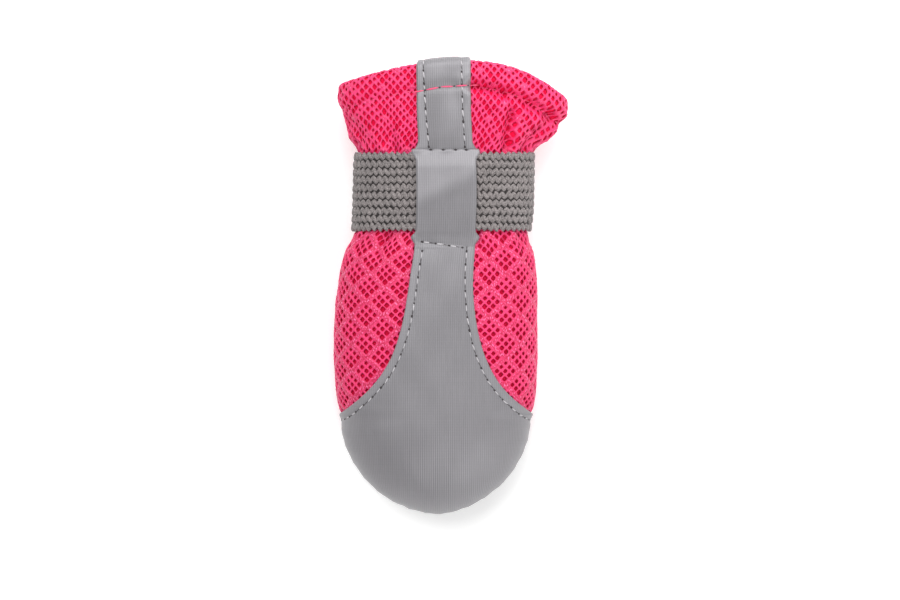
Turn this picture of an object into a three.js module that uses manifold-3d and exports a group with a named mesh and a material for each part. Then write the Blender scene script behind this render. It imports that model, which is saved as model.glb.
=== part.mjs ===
// Dog sock: a soft mesh boot for a small dog's paw, lying on its sole with its shaft in line with the foot.
// Millimetres, +Z up. The toe points to -Y and the open collar to +Y. Built from a toe tip at Y = 0 and a
// floor at Z = 0, then moved so that the origin is at the middle of the base.
import * as THREE from "three";
import { mergeVertices } from "three/addons/utils/BufferGeometryUtils.js";
import Module from "manifold-3d";

const wasm = await Module();
wasm.setup();

// Driving dimensions of the last
const LENGTH = 117; // toe tip to the top of the collar
const BALL_HALF = 26.1; // half the width across the ball
const INSTEP_HEIGHT = 25.6; // floor to the top of the instep

// Cloth thicknesses, and the gap kept between layers
const GAP = 0.3;
const MESH_WALL = 1.8;
const HEM_WALL = 3.0;
const FACING = 0.6;
const SOLE_SHEET = 1.4;
const HEM_FOLD = 0.6;
const ELASTIC = 1.6;
const HOOK_TAPE = 0.8;

// Offsets of each layer from the outside of the mesh
const FACING_IN = GAP;
const FACING_OUT = FACING_IN + FACING;
const SOLE_OUT = GAP + SOLE_SHEET;
const STRAP_IN = GAP;
const STRAP_OUT = STRAP_IN + ELASTIC;
const HOOK_IN = STRAP_OUT + GAP;
const HOOK_OUT = HOOK_IN + HOOK_TAPE;
const LAP_IN = HOOK_OUT + GAP;
const LAP_OUT = LAP_IN + ELASTIC;

// Places along the foot
const TOE_TIP = FACING_OUT;
const TOE_LENGTH = 0.205 * LENGTH;
const CAP_CORNER = 0.219 * LENGTH;
const SOLE_TOE = TOE_TIP + 3.0;
const SOLE_HEEL = 62.8;
const SOLE_HEM = 4.2;
const STRAP_WIDTH = 20;
const STRAP_FROM = 72.6;
const STRAP_TO = STRAP_FROM + STRAP_WIDTH;
const COLLAR_FROM = 95;
const COLLAR_HEM = 7;

// Toe rounding: the power of its outline, the height of its tip and how soon the underside comes down
const TOE_POWER = 1.85;
const TOE_HEIGHT = 8.5;
const TOE_SPRING = 0.6;

// Collar: how far the rim falls below its front at the left side, the right side and the back
const RIM_TOP = LENGTH - FACING_OUT;
const RIM_LEFT = { drop: 5.6, power: 1.6 };
const RIM_RIGHT = { drop: 9.4, power: 2.6 };
const RIM_DROP_BACK = 4;

// Half widths of the overlays, and the length over which the cap flares from its stem
const STEM_HALF = 7.3;
const CAP_FLARE = 11.0;
const STRIP_HALF = 6.9;
const KEEPER_HALF = 7.5;
const KEEPER_EAR = 1.1;
const KEEPER_FROM = 69.5;
const KEEPER_TO = 94.4;
const SOLE_HALF = 20.5;
const SOLE_HEEL_HALF = 20;
const WINDOW_INSET = 4;
const TOE_FIRST_TURN = 0.1;

// Heights of the mesh underside above the floor: over the sole, over its folded hem and over the lapped strap
const FOOT_BED = SOLE_OUT;
const HEM_BED = SOLE_OUT + HEM_FOLD;
const STRAP_BED = LAP_OUT;

// The mesh's outer form, a row for each section from the toe to the collar. along is from the toe tip, half is
// a share of BALL_HALF and high of INSTEP_HEIGHT. low is the underside, widest the height of the greatest
// width, shift how far the shaft leans to +X, press how much of the underside is flattened, and under and
// over are the powers of the rounding below and above the greatest width.
const SECTIONS = [
  { along: 24, half: 0.905, low: FOOT_BED, high: 0.955, widest: 9.0, shift: 0, press: 0.5, under: 3.0, over: 2.2 },
  { along: 27.5, half: 0.958, low: FOOT_BED, high: 0.958, widest: 9.3, shift: 0, press: 0.5, under: 3.0, over: 2.2 },
  { along: 31, half: 0.98, low: FOOT_BED, high: 0.963, widest: 9.6, shift: 0, press: 0.5, under: 3.0, over: 2.25 },
  { along: 42, half: 1.0, low: FOOT_BED, high: 0.982, widest: 10.4, shift: 0, press: 0.5, under: 3.0, over: 2.3 },
  { along: 54, half: 0.99, low: FOOT_BED, high: 1.0, widest: 11.4, shift: 0.1, press: 0.5, under: 2.9, over: 2.3 },
  { along: 57, half: 0.983, low: FOOT_BED, high: 1.0, widest: 11.7, shift: 0.3, press: 0.5, under: 2.9, over: 2.3 },
  { along: 58.5, half: 0.978, low: HEM_BED, high: 1.0, widest: 11.9, shift: 0.4, press: 0.5, under: 2.9, over: 2.3 },
  { along: 63.4, half: 0.955, low: HEM_BED, high: 0.995, widest: 12.4, shift: 0.7, press: 0.5, under: 2.8, over: 2.3 },
  { along: 68, half: 0.915, low: 3.3, high: 0.98, widest: 13.2, shift: 1.1, press: 0.4, under: 2.6, over: 2.3 },
  { along: 72.3, half: 0.828, low: STRAP_BED, high: 0.945, widest: 14.4, shift: 1.7, press: 0.4, under: 2.5, over: 2.3 },
  { along: 92.8, half: 0.828, low: STRAP_BED, high: 0.945, widest: 14.4, shift: 2.4, press: 0.4, under: 2.5, over: 2.3 },
  { along: 97, half: 0.985, low: 3.4, high: 0.97, widest: 13.8, shift: 3.1, press: 0.2, under: 2.3, over: 2.2 },
  { along: 104, half: 1.06, low: 1.9, high: 1.0, widest: 13.4, shift: 3.9, press: 0, under: 2.1, over: 2.1 },
  { along: RIM_TOP, half: 1.11, low: 1.6, high: 1.015, widest: 13.4, shift: 4.5, press: 0, under: 2.1, over: 2.1 },
];

// Stations where the skin has a ring of vertices, past the rounded toe
const STATIONS = [28, 33, 38, 43.5, 49, 54, 57, 58.5, 61, 63.4, 66, 68, 70, 72.3, 78, 86, 92.8, 95, 97, 100.5, 104, 108, 112];
const TOE_RINGS = 9;
const RING_SIDES = 40;
const SECTION_SAMPLES = 240;
const RIM_STEPS = 4;

// Colours and finishes
const FINISHES = {
  mesh: { color: 0xe8436f, roughness: 0.85, metalness: 0 },
  facing: { color: 0x929196, roughness: 0.5, metalness: 0 },
  leatherette: { color: 0x1d1d1d, roughness: 0.55, metalness: 0 },
  elastic: { color: 0x7c7876, roughness: 0.8, metalness: 0 },
  tape: { color: 0x8d8689, roughness: 0.75, metalness: 0 },
};

// A monotone cubic through one column of a table, so that no section bulges past its rows.
function columnCurve(rows, key) {
  const places = rows.map((row) => row.along);
  const values = rows.map((row) => row[key]);
  const slopes = places.slice(1).map((place, i) => (values[i + 1] - values[i]) / (place - places[i]));
  const tangents = places.map((_, i) => {
    if (i === 0) return 0;
    if (i === slopes.length) return 0;
    const product = slopes[i - 1] * slopes[i];
    return product <= 0 ? 0 : (2 * product) / (slopes[i - 1] + slopes[i]);
  });
  return (along) => {
    if (along <= places[0]) return values[0];
    if (along >= places.at(-1)) return values.at(-1);
    const i = places.findIndex((place) => place > along) - 1;
    const step = places[i + 1] - places[i];
    const t = (along - places[i]) / step;
    const ease = t * t * (3 - 2 * t);
    const bend = t * (1 - t) * ((1 - t) * tangents[i] - t * tangents[i + 1]);
    return values[i] + ease * (values[i + 1] - values[i]) + step * bend;
  };
}

const COLUMNS = Object.fromEntries(Object.keys(SECTIONS[0]).map((key) => [key, columnCurve(SECTIONS, key)]));

// The middle line of the facing pieces, across from the foot's axis
const FACING_LINE = [
  { along: CAP_CORNER, across: 0.1 },
  { along: 40, across: 0.65 },
  { along: 55, across: 1.15 },
  { along: 62, across: 1.6 },
  { along: 69, across: 2.35 },
  { along: 82.6, across: 2.75 },
  { along: 96, across: 2.45 },
  { along: 104, across: 2.1 },
  { along: RIM_TOP, across: 2.0 },
];
const facingMiddle = columnCurve(FACING_LINE, "across");

// The sizes of the section at a place along the foot, with the toe rounded off.
function sectionSizes(along) {
  const sizes = Object.fromEntries(Object.entries(COLUMNS).map(([key, curve]) => [key, curve(along)]));
  sizes.half *= BALL_HALF;
  sizes.high *= INSTEP_HEIGHT;
  if (along < TOE_LENGTH) {
    const back = (TOE_LENGTH - along) / (TOE_LENGTH - TOE_TIP);
    const share = Math.max(0, 1 - back ** TOE_POWER) ** (1 / TOE_POWER);
    sizes.half *= share;
    sizes.high = TOE_HEIGHT + (sizes.high - TOE_HEIGHT) * share;
    sizes.widest = TOE_HEIGHT + (sizes.widest - TOE_HEIGHT) * share;
    sizes.low = TOE_HEIGHT - (TOE_HEIGHT - sizes.low) * share ** TOE_SPRING;
    sizes.press *= share;
  }
  return sizes;
}

// How far the rim falls at a place across the section, from -1 at the left to 1 at the right.
function rimDrop(across, isBack) {
  const { drop, power } = across < 0 ? RIM_LEFT : RIM_RIGHT;
  const side = Math.min(1, Math.abs(across)) ** power;
  return drop * side + (isBack ? RIM_DROP_BACK * (1 - side) : 0);
}

// The true place along Y of a point of the section that stands at a nominal place along the foot.
function trueAlong(along, across, isBack) {
  const climb = Math.max(0, along - COLLAR_FROM) / (RIM_TOP - COLLAR_FROM);
  return along - climb * rimDrop(across, isBack);
}

// A point on the section's outline at an angle from its front, towards +X.
function outlinePoint(sizes, along, angle) {
  const [sine, cosine] = [Math.sin(angle), Math.cos(angle)];
  const isBack = cosine < 0;
  const power = 2 / (isBack ? sizes.under : sizes.over);
  const across = Math.sign(sine) * Math.abs(sine) ** power;
  const rise = Math.abs(cosine) ** power;
  const depth = sizes.widest - sizes.low + sizes.press;
  const height = isBack ? Math.max(sizes.low, sizes.widest - depth * rise) : sizes.widest + (sizes.high - sizes.widest) * rise;
  const x = sizes.shift + sizes.half * across;
  return new THREE.Vector3(x, trueAlong(along, across, isBack), height);
}

// A ring of points evenly spaced round the section, from its front towards +X.
function ring(along, count) {
  const sizes = sectionSizes(along);
  const samples = Array.from({ length: SECTION_SAMPLES + 1 }, (_, i) =>
    outlinePoint(sizes, along, (2 * Math.PI * i) / SECTION_SAMPLES),
  );
  const travelled = [0];
  for (let i = 1; i <= SECTION_SAMPLES; i++) {
    travelled.push(travelled[i - 1] + samples[i].distanceTo(samples[i - 1]));
  }
  const points = [];
  let i = 0;
  for (let k = 0; k < count; k++) {
    const goal = (travelled.at(-1) * k) / count;
    while (travelled[i + 1] < goal) i++;
    const t = (goal - travelled[i]) / (travelled[i + 1] - travelled[i]);
    points.push(samples[i].clone().lerp(samples[i + 1], t));
  }
  return points;
}

// The skin as rings with outward normals, from the first ring behind the toe tip to the last station.
function makeSkin() {
  const toe = Array.from({ length: TOE_RINGS }, (_, i) => {
    const turn = ((i + 1) / TOE_RINGS) * (Math.PI / 2);
    return TOE_TIP + (TOE_LENGTH - TOE_TIP) * (1 - Math.cos(turn));
  });
  const places = [...toe, ...STATIONS, RIM_TOP];
  const rings = places.map((along) => ring(along, RING_SIDES));
  const tip = new THREE.Vector3(0, TOE_TIP, TOE_HEIGHT);
  const normals = rings.map((points, i) =>
    points.map((point, j) => {
      const before = i === 0 ? tip : rings[i - 1][j];
      const after = i === rings.length - 1 ? point : rings[i + 1][j];
      const next = points[(j + 1) % RING_SIDES];
      const last = points[(j + RING_SIDES - 1) % RING_SIDES];
      const lengthways = after.clone().sub(before);
      return next.clone().sub(last).cross(lengthways).normalize();
    }),
  );
  return { places, rings, normals, tip };
}

const SKIN = makeSkin();

// A ring of the skin moved out by a distance.
function movedRing(index, offset) {
  return SKIN.rings[index].map((point, j) => point.clone().addScaledVector(SKIN.normals[index][j], offset));
}

function movedTip(offset) {
  return SKIN.tip.clone().add(new THREE.Vector3(0, -offset, 0));
}

// A closed surface from a list of rings, each end closed at its own point.
function ringsGeometry(startPoint, rings, endPoint) {
  const sides = rings[0].length;
  const points = [startPoint, ...rings.flat(), endPoint];
  const at = (i, j) => 1 + i * sides + (j % sides);
  const endIndex = points.length - 1;
  const faces = [];
  for (let j = 0; j < sides; j++) {
    faces.push(0, at(0, j + 1), at(0, j));
    for (let i = 0; i + 1 < rings.length; i++) {
      faces.push(at(i, j), at(i + 1, j + 1), at(i + 1, j));
      faces.push(at(i, j), at(i, j + 1), at(i + 1, j + 1));
    }
    faces.push(at(rings.length - 1, j), at(rings.length - 1, j + 1), endIndex);
  }
  return indexedGeometry(points, faces);
}

function indexedGeometry(points, faces) {
  const geometry = new THREE.BufferGeometry().setFromPoints(points);
  geometry.setIndex(faces);
  return geometry;
}

// Solids for joining and cutting
function toSolid(geometry) {
  const bare = geometry.clone();
  bare.deleteAttribute("normal");
  bare.deleteAttribute("uv");
  const merged = mergeVertices(bare, 1e-4);
  const mesh = new wasm.Mesh({
    numProp: 3,
    vertProperties: new Float32Array(merged.attributes.position.array),
    triVerts: new Uint32Array(merged.index.array),
  });
  return new wasm.Manifold(mesh);
}

function toGeometry(solid) {
  const mesh = solid.getMesh();
  const geometry = new THREE.BufferGeometry();
  geometry.setAttribute("position", new THREE.BufferAttribute(mesh.vertProperties, 3));
  geometry.setIndex(new THREE.BufferAttribute(mesh.triVerts, 1));
  return geometry;
}

// The sock's form, filled, out to a distance from the mesh that may change along the foot.
function filledForm(offsetAt, lastPlace) {
  const count = SKIN.places.findIndex((place) => place >= lastPlace) + 1;
  const rings = SKIN.places.slice(0, count).map((place, i) => movedRing(i, offsetAt(place)));
  const middle = rings.at(-1).reduce((sum, point) => sum.add(point), new THREE.Vector3());
  middle.divideScalar(RING_SIDES);
  return toSolid(ringsGeometry(movedTip(offsetAt(TOE_TIP)), rings, middle));
}

// A block with a given outline in plan, between two heights.
function planBlock(outline, from, to) {
  const geometry = new THREE.ExtrudeGeometry(new THREE.Shape(outline), { depth: to - from, bevelEnabled: false });
  geometry.translate(0, 0, from);
  return toSolid(geometry);
}

// A symmetric outline in plan from its half width at each place along the foot.
function planOutline(places, halfAt, middleAt) {
  const right = places.map((along) => new THREE.Vector2(middleAt(along) + halfAt(along), along));
  const left = places.map((along) => new THREE.Vector2(middleAt(along) - halfAt(along), along));
  return [...right, ...left.reverse()];
}

function evenPlaces(from, to, steps) {
  return Array.from({ length: steps + 1 }, (_, i) => from + ((to - from) * i) / steps);
}

// The sole's outline, drawn in by a margin: a rounded toe, nearly straight sides and a square heel
const OUTLINE_STEPS = 12;

function soleHalf(along, inset) {
  if (along >= TOE_LENGTH) {
    const back = (along - TOE_LENGTH) / (SOLE_HEEL - TOE_LENGTH);
    return SOLE_HALF + (SOLE_HEEL_HALF - SOLE_HALF) * back - inset;
  }
  const ahead = (TOE_LENGTH - along) / (TOE_LENGTH - SOLE_TOE - inset);
  return (SOLE_HALF - inset) * Math.max(0, 1 - ahead ** TOE_POWER) ** (1 / TOE_POWER);
}

// Places along the sole's rounded toe, close together at its end.
function soleToePlaces(inset, firstTurn) {
  const reach = TOE_LENGTH - SOLE_TOE - inset;
  return evenPlaces(firstTurn, Math.PI / 2, OUTLINE_STEPS).map((turn) => TOE_LENGTH - reach * Math.cos(turn));
}

function soleOutline(inset) {
  const places = [...soleToePlaces(inset, TOE_FIRST_TURN), SOLE_HEEL - inset];
  return planOutline(places, (along) => soleHalf(along, inset), () => 0);
}

// Upper: one hollow mesh sock with a folded hem at its collar, open under the foot where the sole closes it
const BELOW = -5;
const WINDOW_TOP = 7;

function upperGeometry() {
  const radius = HEM_WALL / 2;
  const last = SKIN.places.length - 1;
  const outside = SKIN.places.slice(0, -1).map((_, i) => movedRing(i, 0));
  const rimBase = movedRing(last, 0).map((point) => point.add(new THREE.Vector3(0, -radius, 0)));
  const rim = Array.from({ length: RIM_STEPS + 1 }, (_, k) => {
    const turn = (Math.PI * k) / RIM_STEPS;
    return rimBase.map((point, j) =>
      point
        .clone()
        .addScaledVector(SKIN.normals[last][j], radius * (Math.cos(turn) - 1))
        .add(new THREE.Vector3(0, radius * Math.sin(turn), 0)),
    );
  });
  const foldEnd = SKIN.places.findLastIndex((place) => place <= RIM_TOP - COLLAR_HEM);
  const inside = [];
  for (let i = last - 1; i > foldEnd; i--) inside.push(movedRing(i, -HEM_WALL));
  for (let i = foldEnd; i >= 0; i--) inside.push(movedRing(i, -MESH_WALL));
  const sock = toSolid(ringsGeometry(movedTip(0), [...outside, ...rim, ...inside], movedTip(-MESH_WALL)));
  return toGeometry(sock.subtract(planBlock(soleOutline(WINDOW_INSET), BELOW, WINDOW_TOP)));
}

// Toe cap: facing cloth over the toe, narrowing to a stem that ends under the strap keeper
const WIDE = 40;
const ABOVE = 60;
const CAP_END = STRAP_FROM - 2 * GAP;
const CAP_UNDER_SLOPE = 0.45;
const CAP_UNDER_HALF = 16;

function capHalf(along) {
  if (along < CAP_CORNER) return WIDE;
  const ballHalf = sectionSizes(CAP_CORNER).half + FACING_OUT;
  return STEM_HALF + (ballHalf - STEM_HALF) * Math.exp((CAP_CORNER - along) / CAP_FLARE);
}

function toeCapGeometry() {
  const side = sectionSizes(CAP_CORNER);
  const shell = filledForm(() => FACING_OUT, CAP_END + 1).subtract(filledForm(() => FACING_IN, CAP_END + 5));
  const edge = [-WIDE, CAP_CORNER - GAP, ...evenPlaces(CAP_CORNER, CAP_END, 2 * OUTLINE_STEPS)];
  const top = planBlock(planOutline(edge, capHalf, facingMiddle), side.widest, ABOVE);
  const underAt = (half) => CAP_CORNER - (side.half - half) * CAP_UNDER_SLOPE;
  const under = [
    new THREE.Vector2(-WIDE, -WIDE),
    new THREE.Vector2(WIDE, -WIDE),
    new THREE.Vector2(WIDE, underAt(WIDE)),
    new THREE.Vector2(CAP_UNDER_HALF, underAt(CAP_UNDER_HALF)),
    new THREE.Vector2(-CAP_UNDER_HALF, underAt(CAP_UNDER_HALF)),
    new THREE.Vector2(-WIDE, underAt(WIDE)),
  ];
  const cutter = top.add(planBlock(under, BELOW, side.widest));
  const soleHole = planBlock(soleOutline(-GAP), BELOW, TOE_HEIGHT);
  return toGeometry(shell.intersect(cutter).subtract(soleHole));
}

// A point of a surface given by its place across and along, and its normal towards +Z, moved by a distance.
function offsetPoint(at, across, along, offset) {
  const step = 0.2;
  const widthways = at(across + step, along).sub(at(across - step, along));
  const lengthways = at(across, along + step).sub(at(across, along - step));
  const normal = widthways.cross(lengthways).normalize();
  return { point: at(across, along).addScaledVector(normal, offset), normal };
}

// A point of the front of the sock, moved out by a distance.
function frontPoint(across, along, offset) {
  const at = (x, y) => {
    const sizes = sectionSizes(y);
    const share = Math.min(1, Math.abs(x) / sizes.half);
    const rise = (1 - share ** sizes.over) ** (1 / sizes.over);
    const height = sizes.widest + (sizes.high - sizes.widest) * rise;
    return new THREE.Vector3(sizes.shift + x, trueAlong(y, x / sizes.half, false), height);
  };
  return offsetPoint(at, across, along, offset);
}

// The same, across from the middle line of the facing pieces.
function facingPoint(across, along, offset) {
  return frontPoint(across + facingMiddle(along) - COLUMNS.shift(along), along, offset);
}

// A closed ribbon between two grids of points that face each other.
function ribbonGeometry(outer, inner) {
  const rows = outer.length;
  const columns = outer[0].length;
  const size = rows * columns;
  const at = (layer, i, j) => layer * size + i * columns + j;
  const faces = [];
  const quad = (a, b, c, d) => faces.push(a, b, c, a, c, d);
  for (let i = 0; i + 1 < rows; i++) {
    for (let j = 0; j + 1 < columns; j++) {
      quad(at(0, i, j), at(0, i, j + 1), at(0, i + 1, j + 1), at(0, i + 1, j));
      quad(at(1, i, j), at(1, i + 1, j), at(1, i + 1, j + 1), at(1, i, j + 1));
    }
    quad(at(0, i, 0), at(0, i + 1, 0), at(1, i + 1, 0), at(1, i, 0));
    quad(at(0, i + 1, columns - 1), at(0, i, columns - 1), at(1, i, columns - 1), at(1, i + 1, columns - 1));
  }
  for (let j = 0; j + 1 < columns; j++) {
    quad(at(0, 0, j + 1), at(0, 0, j), at(1, 0, j), at(1, 0, j + 1));
    quad(at(0, rows - 1, j), at(0, rows - 1, j + 1), at(1, rows - 1, j + 1), at(1, rows - 1, j));
  }
  return indexedGeometry([...outer.flat(), ...inner.flat()], faces);
}

// Sole: a leatherette sheet that follows the underside, thicker where its heel edge is folded in
const SOLE_COLUMNS = 16;
const SOLE_STATIONS = [31, 38, 45, 51, 57, 58.3];

// A point of the underside, moved straight down to a distance off it so that the outline in plan is kept.
function underPoint(across, along, offset) {
  const at = (x, y) => {
    const sizes = sectionSizes(y);
    const share = Math.min(1, Math.abs(x) / sizes.half);
    const fall = (1 - share ** sizes.under) ** (1 / sizes.under);
    const depth = sizes.widest - sizes.low + sizes.press;
    return new THREE.Vector3(sizes.shift + x, y, Math.max(sizes.low, sizes.widest - depth * fall));
  };
  const { point, normal } = offsetPoint(at, across, along, 0);
  return point.setZ(Math.max(0, point.z - offset / normal.z));
}

function soleGeometry() {
  const foldFrom = SOLE_HEEL - SOLE_HEM;
  const toe = soleToePlaces(0, TOE_FIRST_TURN);
  const places = [...toe, ...SOLE_STATIONS, foldFrom, SOLE_HEEL - SOLE_HEM / 2, SOLE_HEEL];
  const outAt = (along) => SOLE_OUT + (along >= foldFrom ? HEM_FOLD : 0);
  const layer = (offsetAt) =>
    places.map((along) => {
      const half = soleHalf(along, 0);
      const middle = COLUMNS.shift(along);
      const columns = evenPlaces(half, -half, SOLE_COLUMNS);
      return columns.map((x) => underPoint(x - middle, along, offsetAt(along)));
    });
  return ribbonGeometry(layer(outAt), layer(() => GAP));
}

// Collar strip: facing cloth from the keeper up the front of the shaft and folded over the rim
const STRIP_FROM = STRAP_TO + GAP;
const STRIP_COLUMNS = 6;
const STRIP_INSIDE = 6;

function collarStripGeometry() {
  const radius = HEM_WALL / 2;
  const rimBase = RIM_TOP - radius;
  const acrossPlaces = evenPlaces(-STRIP_HALF, STRIP_HALF, STRIP_COLUMNS);
  const layer = (offset) => {
    const climb = evenPlaces(STRIP_FROM, rimBase, 10).map((along) =>
      acrossPlaces.map((across) => facingPoint(across, along, offset).point),
    );
    const turns = evenPlaces(0, Math.PI, 2 * RIM_STEPS).slice(1);
    const over = turns.map((turn) =>
      acrossPlaces.map((across) => {
        const { point, normal } = facingPoint(across, rimBase, 0);
        point.addScaledVector(normal, (radius + offset) * Math.cos(turn) - radius);
        return point.add(new THREE.Vector3(0, (radius + offset) * Math.sin(turn), 0));
      }),
    );
    const inside = acrossPlaces.map((across) => facingPoint(across, rimBase - STRIP_INSIDE, -HEM_WALL - offset).point);
    return [...climb, ...over, inside];
  };
  return ribbonGeometry(layer(FACING_OUT), layer(FACING_IN));
}

// Strap keeper: a facing patch that bridges the strap, with flared ends sewn to the stem and the strip
const KEEPER_ENDS = [0, 1.0, 2.0];
const KEEPER_COLUMNS = 6;

function keeperGeometry() {
  const bridge = evenPlaces(STRAP_FROM - GAP, STRAP_TO + GAP, 6);
  const places = [...KEEPER_ENDS.map((end) => KEEPER_FROM + end), ...bridge, KEEPER_TO - 0.7, KEEPER_TO];
  const halfAt = (along) => {
    const end = Math.min(along - KEEPER_FROM, KEEPER_TO - along);
    return KEEPER_HALF + KEEPER_EAR * Math.max(0, 1 - end / KEEPER_ENDS[2]);
  };
  const liftAt = (along) => (along < bridge[0] || along > bridge.at(-1) ? FACING_OUT : STRAP_OUT);
  const layer = (offset) =>
    places.map((along) =>
      evenPlaces(-halfAt(along), halfAt(along), KEEPER_COLUMNS).map(
        (across) => facingPoint(across, along, liftAt(along) + offset).point,
      ),
    );
  return ribbonGeometry(layer(GAP + FACING), layer(GAP));
}

// Strap: an elastic band round the ankle whose outer end laps over its inner end at the back
const STRAP_SAMPLES = 240;
const STRAP_STEPS = 72;
const LAP_END = -18; // outer end, before the middle of the back
const LAP_HOLD = 13; // where the lapped layer starts to come down to the mesh
const LAP_DOWN = 28; // where it has come down
const INNER_END = 12; // inner end, past the middle of the back after one turn

// The strap's seat on the ankle: places round the section at a distance from the middle of the back.
const STRAP_MIDDLE = (STRAP_FROM + STRAP_TO) / 2;

function makeSeat() {
  const points = ring(STRAP_MIDDLE, STRAP_SAMPLES);
  const half = STRAP_SAMPLES / 2;
  const turned = points.map((_, i) => points[(i + half) % STRAP_SAMPLES]);
  const pitch = turned[0].distanceTo(turned[1]);
  return { points: turned, pitch, girth: pitch * STRAP_SAMPLES };
}

const SEAT = makeSeat();

function seatPoint(distance, along, offset) {
  const place = ((distance / SEAT.pitch) % STRAP_SAMPLES) + STRAP_SAMPLES;
  const index = Math.floor(place);
  const pick = (i) => SEAT.points[i % STRAP_SAMPLES];
  const here = pick(index).clone().lerp(pick(index + 1), place - index);
  const tangent = pick(index + 3).clone().sub(pick(index + STRAP_SAMPLES - 2)).setY(0).normalize();
  const outward = new THREE.Vector3(-tangent.z, 0, tangent.x);
  here.setY(along).setX(here.x + COLUMNS.shift(along) - COLUMNS.shift(STRAP_MIDDLE));
  return here.addScaledVector(outward, offset);
}

// How far the strap's inside stands off the mesh at a distance along it.
function strapLift(distance) {
  const t = THREE.MathUtils.smoothstep(distance, LAP_HOLD, LAP_DOWN);
  return LAP_IN + (STRAP_IN - LAP_IN) * t;
}

function bandGeometry(distances, edgesAt, liftAt, thickness) {
  const layer = (offset) =>
    distances.map((distance) =>
      edgesAt(distance).map((along) => seatPoint(distance, along, liftAt(distance) + offset)),
    );
  return ribbonGeometry(layer(thickness), layer(0));
}

function strapGeometry() {
  const distances = evenPlaces(LAP_END, SEAT.girth + INNER_END, STRAP_STEPS);
  return bandGeometry(distances, () => [STRAP_TO, STRAP_FROM], strapLift, ELASTIC);
}

// Hook tape: sewn under the strap's outer end, set askew so that its edge shows past the elastic
const TAPE_END = LAP_END - 2;
const TAPE_START = 10;
const TAPE_STEPS = 16;
const TAPE_SKEW = 2.2;

function hookTapeGeometry() {
  const distances = evenPlaces(TAPE_END, TAPE_START, TAPE_STEPS);
  const edgesAt = (distance) => {
    const skew = (TAPE_SKEW * (TAPE_START - distance)) / (TAPE_START - TAPE_END);
    return [STRAP_TO - GAP + skew, STRAP_FROM + GAP + skew];
  };
  return bandGeometry(distances, edgesAt, () => HOOK_IN, HOOK_TAPE);
}

// Assembly
function piece(name, geometry, finish) {
  geometry.computeVertexNormals();
  const mesh = new THREE.Mesh(geometry, new THREE.MeshStandardMaterial(FINISHES[finish]));
  mesh.name = name;
  return mesh;
}

const sock = new THREE.Group();
sock.add(
  piece("upper", upperGeometry(), "mesh"),
  piece("sole", soleGeometry(), "leatherette"),
  piece("toe_cap", toeCapGeometry(), "facing"),
  piece("collar_strip", collarStripGeometry(), "facing"),
  piece("strap_keeper", keeperGeometry(), "facing"),
  piece("strap", strapGeometry(), "elastic"),
  piece("hook_tape", hookTapeGeometry(), "tape"),
);

const box = new THREE.Box3().setFromObject(sock, true);
const middle = box.getCenter(new THREE.Vector3());
sock.position.set(-middle.x, -middle.y, 0);

export default sock;
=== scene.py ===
"""Looks of a soft mesh dog sock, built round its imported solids.

Sizes are in millimetres until a mesh is made. A place on the sock is a run from the toe tip and an angle
round it from the front towards +X. On the facings it is a run and a distance across from their middle line.
"""
import logging
from dataclasses import dataclass, field, fields
from enum import Enum
from typing import Any, Sequence

import bmesh
import bpy
import numpy as np
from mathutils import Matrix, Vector


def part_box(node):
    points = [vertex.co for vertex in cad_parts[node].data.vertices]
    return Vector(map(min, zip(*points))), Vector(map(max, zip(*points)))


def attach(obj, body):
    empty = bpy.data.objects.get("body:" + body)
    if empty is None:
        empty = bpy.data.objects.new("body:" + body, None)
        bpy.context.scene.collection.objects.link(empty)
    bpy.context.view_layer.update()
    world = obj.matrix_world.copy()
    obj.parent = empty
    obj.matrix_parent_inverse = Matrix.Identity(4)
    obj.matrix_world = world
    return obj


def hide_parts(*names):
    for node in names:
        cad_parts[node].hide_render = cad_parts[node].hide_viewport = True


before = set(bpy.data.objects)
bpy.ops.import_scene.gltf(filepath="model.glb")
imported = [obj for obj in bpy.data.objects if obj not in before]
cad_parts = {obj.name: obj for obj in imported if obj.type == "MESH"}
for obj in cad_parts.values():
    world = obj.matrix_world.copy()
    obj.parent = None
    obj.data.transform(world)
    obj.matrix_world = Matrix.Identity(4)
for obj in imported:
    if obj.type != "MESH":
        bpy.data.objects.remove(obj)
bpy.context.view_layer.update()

Array = np.ndarray
Item = bpy.types.Object
Material = bpy.types.Material
Pair = tuple[float, float]
Triple = tuple[float, float, float]
LOG = logging.getLogger("dog_sock")
MM = 0.001
ROOT = "root"
SEED = 7
TINY = 0.01


def smooth(value: Array, start: float, end: float) -> Array:
    """Ease from 0 at start to 1 at end."""
    share = np.clip((np.asarray(value, float) - start) / (end - start), 0, 1)
    return share * share * (3 - 2 * share)


def bell(value: Array, width: float) -> Array:
    """A soft bump of height 1 at 0 that has fallen to 1/e at a width."""
    return np.exp(-((np.asarray(value, float) / width) ** 2))


def rounded(distance: Array, radius: float) -> Array:
    """The height, from 0 to 1, of an edge rounded to a radius, at distances in from it."""
    return np.sqrt(1 - (1 - np.clip(distance / radius, 0, 1)) ** 2)


def nose_rows(start: float, end: float, count: int, first: float = 0.0) -> Array:
    """Rows of a round nose, closest at its tip, from a first angle off the tip."""
    return start + (end - start) * (1 - np.cos(np.linspace(first, np.pi / 2, count)))


def abreast(*parts: Array) -> Array:
    """Arrays side by side, one a column."""
    return np.stack(parts, -1)


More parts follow.
